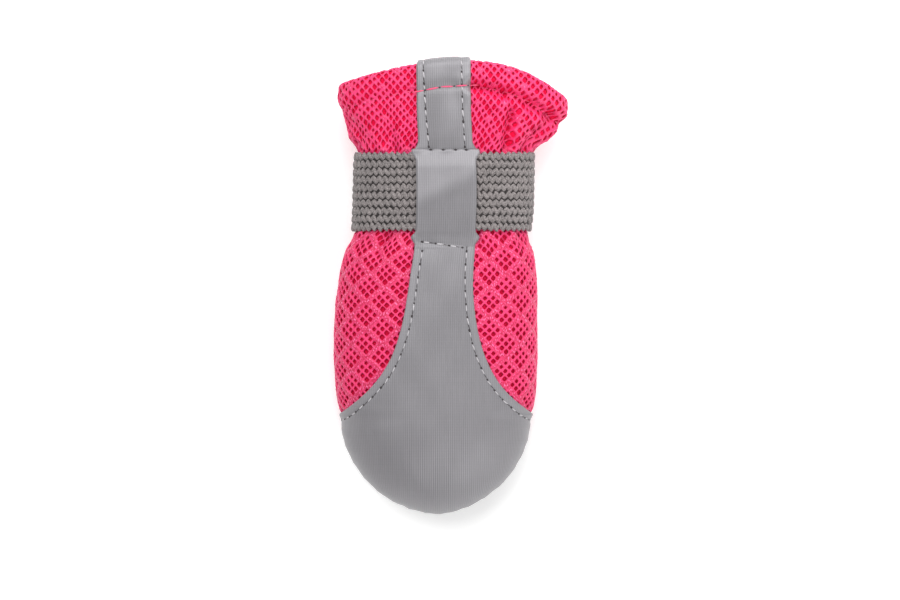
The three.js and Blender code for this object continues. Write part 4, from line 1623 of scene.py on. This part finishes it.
@dataclass
class CollarStrip(Facing):
    """Facing cloth from the keeper to the rim, folded over it."""

    start: float = 92.9
    inside: float = 6.0
    seam_rim: Pair = (-5.15, 4.55)
    seam_foot: Pair = (-4.2, 4.9)
    seam_ends: Pair = (1.2, 0.4)
    seam_sunk: float = 0.12
    pitch: float = 3.2
    trough: Swell = Swell(0.16, 0.0, 0.5)
    flare: Swell = Swell(1.25, 0.0, 1.4)
    # Painted highlight on the margins outside the seams; the spots are painted highlight and painted shade.
    margin_gloss: float = 0.25
    spots: tuple[PaintedLightSpot, ...] = (
        PaintedLightSpot(2.2, 104.0, 2.2, 5.0, 0.32),
        PaintedLightSpot(-2.8, 101.0, 1.6, 7.0, -0.22),
        PaintedLightSpot(0.8, 95.0, 3.2, 2.6, -0.28),
        PaintedLightSpot(1.5, 111.0, 3.0, 1.3, -0.25),
        PaintedLightSpot(-1.5, 114.0, 3.0, 1.5, 0.2),
    )

    def build(self) -> None:
        """Make and dress the strip and its two stitch lines."""
        register(self.strip(), "collar_strip")
        stitch = Stitch(0.8, 0.15, 0.15, phase=0.69, tip=0.17, slant=0.15)
        self.sew("strip", stitch, [self.seam(side) for side in (0, 1)])

    def strip(self) -> Item:
        """The strip, with rounded edges and the troughs of its seams."""
        form = self.stage.form
        radius = form.hem_wall / 2
        base = form.rim_top - radius
        climb = np.linspace(self.start, base, 40)
        fold = base + radius * np.linspace(0, np.pi, 13)[1:]
        run = np.concatenate([climb, fold, fold[-1] + np.linspace(0, self.inside, 8)[1:]])
        half = (form.strip_half + self.flare.at(run - self.start))[:, None]
        across = half * np.linspace(-1, 1, 41)
        runs = np.broadcast_to(run[:, None], across.shape)
        angle = form.angle_of_across(across, np.minimum(runs, base))
        lift = self.thick(half - np.abs(across))
        # Painted highlight and painted shade: the spots, and lighter margins outside the seams.
        gloss = sum(spot.at(across, runs) for spot in self.spots)
        for side, sign in enumerate((-1, 1)):
            beyond = across - self.seam_across(side, runs)
            lift = lift - self.trough.at(beyond)
            gloss = gloss + self.margin_gloss * smooth(sign * beyond, *self.margin_ease)
        outer, inner = form.cloth(angle, runs, lift), form.cloth(angle, runs, self.inner)
        sheet = Sheet(outer, inner, abreast(across, runs), gloss=gloss)
        return self.stage.shell("strip", sheet, Finish.FACING)

    def seam_across(self, side: int, run: Array) -> Array:
        """How far across a stitch line lies, from the strip's foot to the rim."""
        share = (run - self.start) / (self.stage.form.rim_top - self.start)
        return self.seam_foot[side] + (self.seam_rim[side] - self.seam_foot[side]) * share

    def seam(self, side: int) -> Seam:
        """The stitch line along one edge of the strip."""
        form = self.stage.form
        run = np.linspace(self.start + self.seam_ends[0], form.rim_top - self.seam_ends[1], 60)
        angle = form.angle_of_across(self.seam_across(side, run), run)
        return Seam.on_cloth(form, angle, run, self.outer - self.seam_sunk, self.pitch)


@dataclass
class Keeper:
    """The facing that bridges the strap.

    It runs on from the stem, where it is sewn down, and has an ear at each corner and a nipped far edge.
    """

    stage: Stage
    start: float = 67.4
    end: float = 93.2
    half: float = 7.45
    half_ease: float = 3.0
    ears: tuple[Swell, ...] = (Swell(1.15, 70.5, 1.15), Swell(1.15, 92.5, 1.15))
    low: float = 0.35
    high: float = 2.0
    end_lift: float = 0.95
    fall: Pair = (-4.0, 1.0)
    thickness: float = 0.62
    edge_round: float = 0.3
    edge_share: float = 0.3
    start_step: float = 0.14
    start_ease: float = 0.9
    rise: float = 16.0
    crest: float = 82.0
    row: float = 68.75
    row_slant: float = -0.132
    row_left: float = -5.75
    row_pitch: float = 3.4
    row_stitches: int = 3
    row_sunk: float = 0.1
    trough: Swell = Swell(0.2, 0.0, 0.45)
    notches: tuple[float, ...] = (-3.75, -0.6, 2.5, 5.2)
    notch_half: float = 1.3
    notch_hole: Triple = (0.34, 0.42, 0.25)
    bulge: float = 0.4
    bulge_length: float = 2.0
    puckers: tuple[Wave, Wave] = (Wave(0.1, 0.9, 0.4), Wave(1.0, 0.22, 0.0))
    pucker_ease: Pair = (70.0, 74.0)
    bridge_start: Pair = (0.5, 2.5)
    bridge_end: float = 1.5
    fold: float = 83.6
    fold_slant: float = 0.5
    fold_rise: Swell = Swell(0.16, 0.0, 2.5)
    # Painted light: lighter past the fold, darker before it, and lighter along the raw edges.
    fold_gloss: float = 0.26
    fold_gain: float = 1.7
    fold_ease: float = 2.6
    fold_from: Pair = (1.0, 5.0)
    edge_gloss: float = 0.17
    edge_ease: Pair = (0.4, 1.4)
    edge_from: Pair = (0.0, 2.0)

    def build(self) -> None:
        """Make and dress the keeper and its stitching."""
        register(self.patch(), "strap_keeper")
        stitch = Stitch(0.9, 0.17, 0.16, phase=0.33, tip=-0.17, slant=0.06)
        row = [self.seam(self.row_stitches)]
        holes = stitch.holes([self.seam(self.row_stitches + 1)]).joined(stitch.sunk(row))
        holes = holes.joined(self.notch_holes())
        self.stage.sew("keeper", stitch.threads(row), holes, Finish.PALE_THREAD, Slot.FACING)

    def width(self, run: Array) -> Array:
        """Half the patch's width: the stem's at its start, with an ear at each edge of the strap."""
        stem = self.stage.form.cap_edge(run)
        body = stem + (self.half - stem) * smooth(run, self.start, self.start + self.half_ease)
        return body + sum(ear.at(run) for ear in self.ears)

    def lift(self, run: Array) -> Array:
        """How far the patch's underside stands off the mesh."""
        form = self.stage.form
        under = form.sizes(run)["high"]
        foot, crest = form.sizes(np.array([self.row, self.crest]))["high"] + (self.low, self.high)
        slope = 1 - np.clip((run - self.row) / self.rise, 0, 1)
        bridge = np.maximum(self.low, foot + (crest - foot) * (1 - slope**2) - under)
        return bridge + (self.end_lift - bridge) * smooth(run - form.strap_to, *self.fall)

    def patch(self) -> Item:
        """The patch, flush with the stem at its start and with a thin raw edge at its end."""
        form = self.stage.form
        run = np.linspace(self.start, self.end, 90)
        place = np.linspace(-1, 1, 45)
        across = self.width(run)[:, None] * place
        away = np.min([np.abs(across - notch) for notch in self.notches], axis=0)
        nipped = smooth(run, self.end - self.bulge_length, self.end)[:, None]
        runs = run[:, None] + self.bulge * smooth(away, 0.0, self.notch_half) * nipped
        angle = form.angle_of_across(across, runs)
        edge = np.minimum((1 - np.abs(place)) * self.half, (self.end - run)[:, None])
        sewn = smooth(runs - self.row, *self.bridge_start)
        bridged = sewn * smooth(runs, form.strap_to, form.strap_to - self.bridge_end)
        base = self.lift(run)[:, None] - bridged * form.relief(angle, runs, form.point(angle, runs))
        past_fold = runs - self.fold - self.fold_slant * across
        outer = form.cloth(angle, runs, base + self.thick(across, runs, edge, past_fold))
        inner = form.cloth(angle, runs, base)
        sheet = Sheet(outer, inner, abreast(across, runs), gloss=self.gloss(runs, edge, past_fold))
        return self.stage.shell("keeper", sheet, Finish.FACING)

    def thick(self, across: Array, run: Array, edge: Array, past_fold: Array) -> Array:
        """How thick the patch is, with its puckers, fold, trough and flush start."""
        lip = rounded(edge, self.edge_round)
        waves, along = self.puckers
        pucker = waves.at(across) * along.at(run) * smooth(run, *self.pucker_ease)
        raised = pucker + self.fold_rise.at(past_fold)
        trough = self.trough.at(run - self.row - self.row_slant * across)
        flush = self.start_step * (1 - smooth(run, self.start, self.start + self.start_ease))
        body = self.thickness * (self.edge_share + (1 - self.edge_share) * lip)
        return body + raised * lip - trough - flush

    def gloss(self, run: Array, edge: Array, past_fold: Array) -> Array:
        """Painted light: highlight past the fold, shade before it, and highlight along the raw edges."""
        past = smooth(past_fold, -self.fold_ease, self.fold_ease)
        on_fold, on_edge = (smooth(run - self.start, *ease) for ease in (self.fold_from, self.edge_from))
        fold = self.fold_gloss * (self.fold_gain * past - 1) * on_fold
        return fold + self.edge_gloss * (1 - smooth(edge, *self.edge_ease)) * on_edge

    def seam(self, stitches: int) -> Seam:
        """The row that sews the patch's foot to the stem, as long as a number of stitches."""
        form = self.stage.form
        across = self.row_left + np.linspace(0, stitches * self.row_pitch, 30)
        run = self.row + self.row_slant * across
        angle = form.angle_of_across(across, run)
        lift = self.lift(run) + self.thickness - self.row_sunk
        return Seam.on_cloth(form, angle, run, lift, self.row_pitch)

    def notch_holes(self) -> Lumps:
        """Painted shade: dark dots for the needle holes that nip the patch's far edge."""
        form = self.stage.form
        across = np.array(self.notches)
        run = np.full(len(across), self.end + 0.05)
        angle = form.angle_of_across(across, run)
        points = form.cloth(angle, run, self.lift(run) + self.thickness / 2)
        up, along = form.normal(angle, run)
        return Lumps(points, along, up, np.tile(self.notch_hole, (len(across), 1)))


@dataclass
class Strap:
    """The knitted elastic band round the ankle, lapped at the back over its hook tape."""

    stage: Stage
    middle: float = 82.6
    lap_end: float = -18.0
    lap_ease: Pair = (13.0, 28.0)
    inner_end: float = 12.0
    lap_lift: float = 3.3
    seat_lift: float = 0.3
    tape_end: float = -20.0
    tape_start: float = 10.0
    tape_skew: float = 2.2
    tape_faces: Pair = (3.0, 2.2)
    keeper_half: float = 6.9
    keeper_ease: Pair = (-0.6, 0.2)
    core_inset: float = 0.35
    core_faces: Pair = (1.0, 0.15)
    core_pressed: float = 0.6
    rounding: tuple[float, ...] = (-1.6, -0.8, 0.0, 0.8, 1.6)
    rows: int = 10
    pitch: float = 0.77
    lobe: Triple = (1.27, 0.6, 0.5)
    sunk_lobe: Triple = (1.25, 0.55, 0.44)
    end_lobe: Triple = (0.62, 0.38, 0.64)
    end_inset: float = 0.25
    end_lift: float = 0.62
    knit_lift: float = 0.92
    sunk: float = 0.15
    slant: float = 1.12
    row_wander: float = 0.3
    wander: Triple = (0.05, 0.03, 0.03)
    slant_wander: float = 0.08
    size_wander: float = 0.05
    widthways: Triple = (0.0, 1.0, 0.0)

    def build(self) -> None:
        """Make and dress the band, its knit and its tape."""
        register(self.core(), "strap")
        knit = self.knit().joined(self.turned_end())
        register(self.stage.repeat("strap_knit", knit, Finish.YARN))
        register(self.tape(), "hook_tape")

    def girth(self) -> float:
        """The length round the seat."""
        form = self.stage.form
        return float(np.interp(self.middle, form.stations, form.girths))

    def angle(self, distance: Array) -> Array:
        """The angle at distances round from the middle of the back, first towards -X."""
        return self.stage.form.angle_of_share(0.5 + distance / self.girth(), self.middle)

    def ring(self, distance: Array) -> Array:
        """Points round the middle of the seat, with the section's tight bends rounded off."""
        level = np.full(distance.shape, self.middle)
        around = [self.stage.form.point(self.angle(distance + step), level) for step in self.rounding]
        return np.mean(around, axis=0)

    def seat(self, distance: Array, along: Array, offset: Array | float) -> tuple[Array, Array, Array]:
        """Places on the strap's seat.

        Args:
            distance: Distances round from the middle of the back, first towards -X.
            along: Places along the foot.
            offset: Distance off the mesh.

        Returns:
            The points, the directions round the seat and the directions out of it.
        """
        form = self.stage.form
        distance, along, offset = np.broadcast_arrays(distance, along, offset)
        step = 0.25
        around = unit(self.ring(distance + step) - self.ring(distance - step))
        outward = abreast(-around[..., 2], 0 * distance, around[..., 0])
        off = offset - form.drawn_in(self.angle(distance), along)
        points = self.ring(distance) + outward * off[..., None]
        points[..., 0] += form.column("shift", along) - form.column("shift", self.middle)
        points[..., 1] = along
        return points, around, outward

    def lift(self, distance: Array) -> Array:
        """How far the band's underside stands off the mesh along it."""
        seated = smooth(distance, *self.lap_ease)
        return self.lap_lift + (self.seat_lift - self.lap_lift) * seated

    def under_keeper(self, points: Array, outward: Array) -> Array:
        """How far places on top of the strap lie outside the keeper's edge, below 0 under it."""
        aside = np.abs(points[..., 0] - self.stage.form.facing_middle(points[..., 1])) - self.keeper_half
        return np.where(outward[..., 2] > 0, aside, np.inf)

    def core(self) -> Item:
        """The band's body under its knit, pressed thin under the keeper; its dark colour is painted shade
        between the loops.
        """
        form = self.stage.form
        distance = np.linspace(self.lap_end + 0.3, self.girth() + self.inner_end, 200)
        along = np.linspace(form.strap_from + self.core_inset, form.strap_to - self.core_inset, 11)
        grid = np.meshgrid(distance, along)
        plain, _, outward = self.seat(*grid, 0.0)
        pressed = self.core_pressed * (1 - smooth(self.under_keeper(plain, outward), *self.keeper_ease))
        top, bottom = (self.lift(grid[0]) + face for face in self.core_faces)
        outer, inner = self.seat(*grid, top - pressed)[0], self.seat(*grid, bottom)[0]
        return self.stage.shell("strap_core", Sheet(outer, inner, abreast(*grid)), Finish.CORE)

    def knit(self) -> Lumps:
        """The loops of the knit: rows of zigzag strokes, each second one smaller and sunk."""
        rng = np.random.default_rng(SEED + 1)
        form = self.stage.form
        height = (form.strap_to - form.strap_from) / self.rows
        places = np.arange(self.lap_end + 0.7, self.girth() + self.lap_end + 1.0, self.pitch)
        rows = form.strap_from + height * (np.arange(self.rows) + 0.5)
        distance, along = (grid.ravel() for grid in np.meshgrid(places, rows))
        sunk = np.round((distance - places[0]) / self.pitch) % 2
        count = len(distance)
        around_wander, along_wander, lift_wander = self.wander
        row_wander = np.repeat(rng.uniform(-self.row_wander, self.row_wander, self.rows), len(places))
        distance = distance + row_wander + rng.normal(0, around_wander, count)
        along = along + rng.normal(0, along_wander, count)
        offset = self.lift(distance) + self.knit_lift - self.sunk * sunk
        offset = offset + rng.normal(0, lift_wander, count)
        points, around, outward = self.seat(distance, along, offset)
        slant = self.slant + rng.normal(0, self.slant_wander, count)
        aside = np.array(self.widthways) * ((2 * sunk - 1) * np.sin(slant))[:, None]
        forward = unit(around * np.cos(slant)[:, None] + aside)
        seen = self.under_keeper(points, outward) >= 0
        gain = 1 + rng.normal(0, self.size_wander, (count, 3))
        size = np.where(sunk[:, None] > 0, self.sunk_lobe, self.lobe) * gain
        return Lumps(points[seen], forward[seen], outward[seen], size[seen])

    def turned_end(self) -> Lumps:
        """The loops that turn over the band's lapped end, two to a row."""
        form = self.stage.form
        count = 2 * self.rows
        along = np.linspace(form.strap_from, form.strap_to, 2 * count + 1)[1::2]
        distance = np.full(count, self.lap_end + self.end_inset)
        points, _, outward = self.seat(distance, along, self.lap_lift + self.end_lift)
        widthways, size = (np.tile(row, (count, 1)) for row in (self.widthways, self.end_lobe))
        return Lumps(points, widthways, outward, size)

    def tape(self) -> Item:
        """The hook tape under the lapped end, askew so that its edge shows."""
        form = self.stage.form
        distance = np.linspace(self.tape_end, self.tape_start, 60)
        width = np.linspace(form.strap_from, form.strap_to, 21)
        around, along = np.meshgrid(distance, width)
        skew = self.tape_skew * (self.tape_start - around) / (self.tape_start - self.tape_end)
        outer, inner = (self.seat(around, along + skew, face)[0] for face in self.tape_faces)
        return self.stage.shell("hook_tape_cloth", Sheet(outer, inner, abreast(around, along)), Finish.TAPE)


@dataclass
class Sole:
    """The leatherette sole, sewn at its edge, with a hem at the heel."""

    stage: Stage
    outer: float = 1.7
    inner: float = 0.2
    hem: float = 4.2
    hem_fold: float = 0.6
    hem_ease: float = 0.6
    edge_round: float = 0.9
    edge_rise: float = 0.75
    steepest: float = 0.3
    seam_inset: float = 1.3
    seam_sunk: float = 0.2
    heel_inset: float = 3.0
    heel_reach: float = 0.92
    heel_sunk: float = 0.25
    pitch: float = 3.0
    trough: Swell = Swell(0.3, 0.0, 0.4)

    def build(self) -> None:
        """Make and dress the sole and its stitching."""
        register(self.sheet(), "sole")
        stitch = Stitch(0.9, 0.24, 0.18)
        seams = (
            ("sole_stitches", self.edge_seam(), Finish.PALE_THREAD),
            ("heel_stitches", self.heel_seam(), Finish.BLACK_THREAD),
        )
        for name, seam, finish in seams:
            register(self.stage.repeat(name, stitch.threads([seam]), finish))

    def under(self, across: Array, along: Array, offset: Array | float) -> Array:
        """Points below the underside of the form, no lower than the floor.

        Args:
            across: Places across the sock.
            along: Places along the foot.
            offset: Distance off the mesh.

        Returns:
            The points, in millimetres.
        """
        form = self.stage.form
        size = form.sizes(along)
        aside = across - size["shift"]
        share = np.clip(np.abs(aside) / np.maximum(size["half"], TINY), 0, 0.999)
        angle = np.pi - np.sign(aside) * np.arcsin(share ** (size["under"] / 2))
        points = form.point(angle, along)
        facing_down = np.maximum(-form.normal(angle, along)[0][..., 2], self.steepest)
        points[..., 0] = across
        points[..., 2] = np.maximum(0, points[..., 2] - offset / facing_down)
        return points

    def sheet(self) -> Item:
        """The sole's sheet, with a rounded edge and the troughs of its seams."""
        form = self.stage.form
        toe = nose_rows(form.sole_toe, form.toe_length, 26, first=0.03)
        along = np.concatenate([toe, np.linspace(form.toe_length + 0.8, form.sole_heel, 50)])
        across = form.sole_edge(along)[:, None] * np.linspace(-1, 1, 61)
        runs = np.broadcast_to(along[:, None], across.shape)
        cloth = abreast(across, runs)
        distance = path_distance(cloth.reshape(-1, 2), self.outline(0.0)).reshape(across.shape)
        back = form.sole_heel - runs
        lip = rounded(np.minimum(distance, back), self.edge_round)
        fold = self.hem_fold * smooth(back, self.hem, self.hem - self.hem_ease)
        offset = self.outer + fold - self.edge_rise * (1 - lip)
        for beyond in (distance - self.seam_inset, back - self.heel_inset):
            offset = offset - self.trough.at(beyond)
        upper, lower = self.under(across, runs, self.inner), self.under(across, runs, offset)
        return self.stage.shell("sole_sheet", Sheet(upper, lower, cloth), Finish.LEATHER)

    def outline(self, inset: float) -> Array:
        """The sole's edge in plan from heel corner to heel corner, drawn in by an inset."""
        form = self.stage.form
        tips = (form.sole_toe, form.sole_toe + inset)
        plain, along = (np.append(nose_rows(tip, form.toe_length, 60), form.sole_heel) for tip in tips)
        right = abreast(np.maximum(form.sole_edge(plain) - inset, 0), along)
        return np.concatenate([right[::-1], right[1:] * (-1, 1)])

    def downward(self, points: Array) -> Seam:
        """A seam on the sole's underside."""
        return Seam(points, np.tile([0.0, 0.0, -1.0], (len(points), 1)), self.pitch)

    def edge_seam(self) -> Seam:
        """The stitching inside the sole's edge."""
        line = self.outline(self.seam_inset)
        return self.downward(self.under(line[:, 0], line[:, 1], self.outer - self.seam_sunk))

    def heel_seam(self) -> Seam:
        """The stitching of the heel hem."""
        form = self.stage.form
        across = np.linspace(-self.heel_reach, self.heel_reach, 40) * form.sole_heel_half
        along = np.full(len(across), form.sole_heel - self.heel_inset)
        return self.downward(self.under(across, along, self.outer + self.hem_fold - self.heel_sunk))


@dataclass(frozen=True)
class Lamp:
    """A soft area light aimed at the sock, in metres and watts."""

    name: str
    place: Triple
    size: float
    power: float
    target: Triple = (0.0, 0.0, 0.01)

    def build(self) -> None:
        """Add the light to the scene."""
        data = bpy.data.lights.new(self.name, "AREA")
        data.shape, data.size, data.energy = "DISK", self.size, self.power
        item = put(self.name, data)
        item.location = self.place
        aim = Vector(self.target) - Vector(self.place)
        item.rotation_euler = aim.to_track_quat("-Z", "Y").to_euler()
        item.visible_camera = False


@dataclass
class Studio:
    """The floor, the lights and the camera, which looks straight down."""

    stage: Stage
    sky: float = 0.4
    floor_half: float = 3.0
    distance: float = 2.0
    lens: float = 309.8
    sensor: float = 36.0
    middle_run: float = 54.9
    lamps: tuple[Lamp, ...] = (
        Lamp("key", (-0.24, 0.4, 0.7), 0.8, 5.8),
        Lamp("collar", (0.08, 0.15, 0.12), 0.15, 0.2),
        Lamp("front", (0.42, -0.66, 0.52), 0.9, 5.2),
    )

    def build(self) -> None:
        """Set the stage."""
        scene = bpy.context.scene
        scene.view_settings.view_transform = "Standard"
        world = bpy.data.worlds.new("sky")
        scene.world = world
        world.use_nodes = True
        background = world.node_tree.nodes["Background"]
        background.inputs["Color"].default_value = (1.0, 1.0, 1.0, 1.0)
        background.inputs["Strength"].default_value = self.sky
        for lamp in self.lamps:
            lamp.build()
        self.floor()
        self.camera()

    def floor(self) -> None:
        """A plain pale floor."""
        mesh = bpy.data.meshes.new("floor")
        signs = ((-1, -1), (1, -1), (1, 1), (-1, 1))
        corners = [(self.floor_half * x, self.floor_half * y, 0) for x, y in signs]
        mesh.from_pydata(corners, [], [(0, 1, 2, 3)])
        mesh.materials.append(self.stage.material(Finish.FLOOR))
        put("floor", mesh)

    def camera(self) -> None:
        """The camera above the sock, upright with the toe at the bottom of the picture."""
        data = bpy.data.cameras.new("camera")
        data.lens, data.sensor_width = self.lens, self.sensor
        item = put("camera", data)
        middle = self.stage.metres(np.array([0.0, self.middle_run, 0.0]))[0]
        item.location = (0.0, middle[1], self.distance)
        bpy.context.scene.camera = item


def main() -> None:
    """Build the sock piece by piece."""
    logging.basicConfig(level=logging.INFO, format="%(name)s %(message)s")
    stage = Stage(Form())
    Studio(stage).build()
    for part in (Upper, ToeCap, CollarStrip, Keeper, Strap, Sole):
        part(stage).build()


if __name__ == "__main__":
    main()
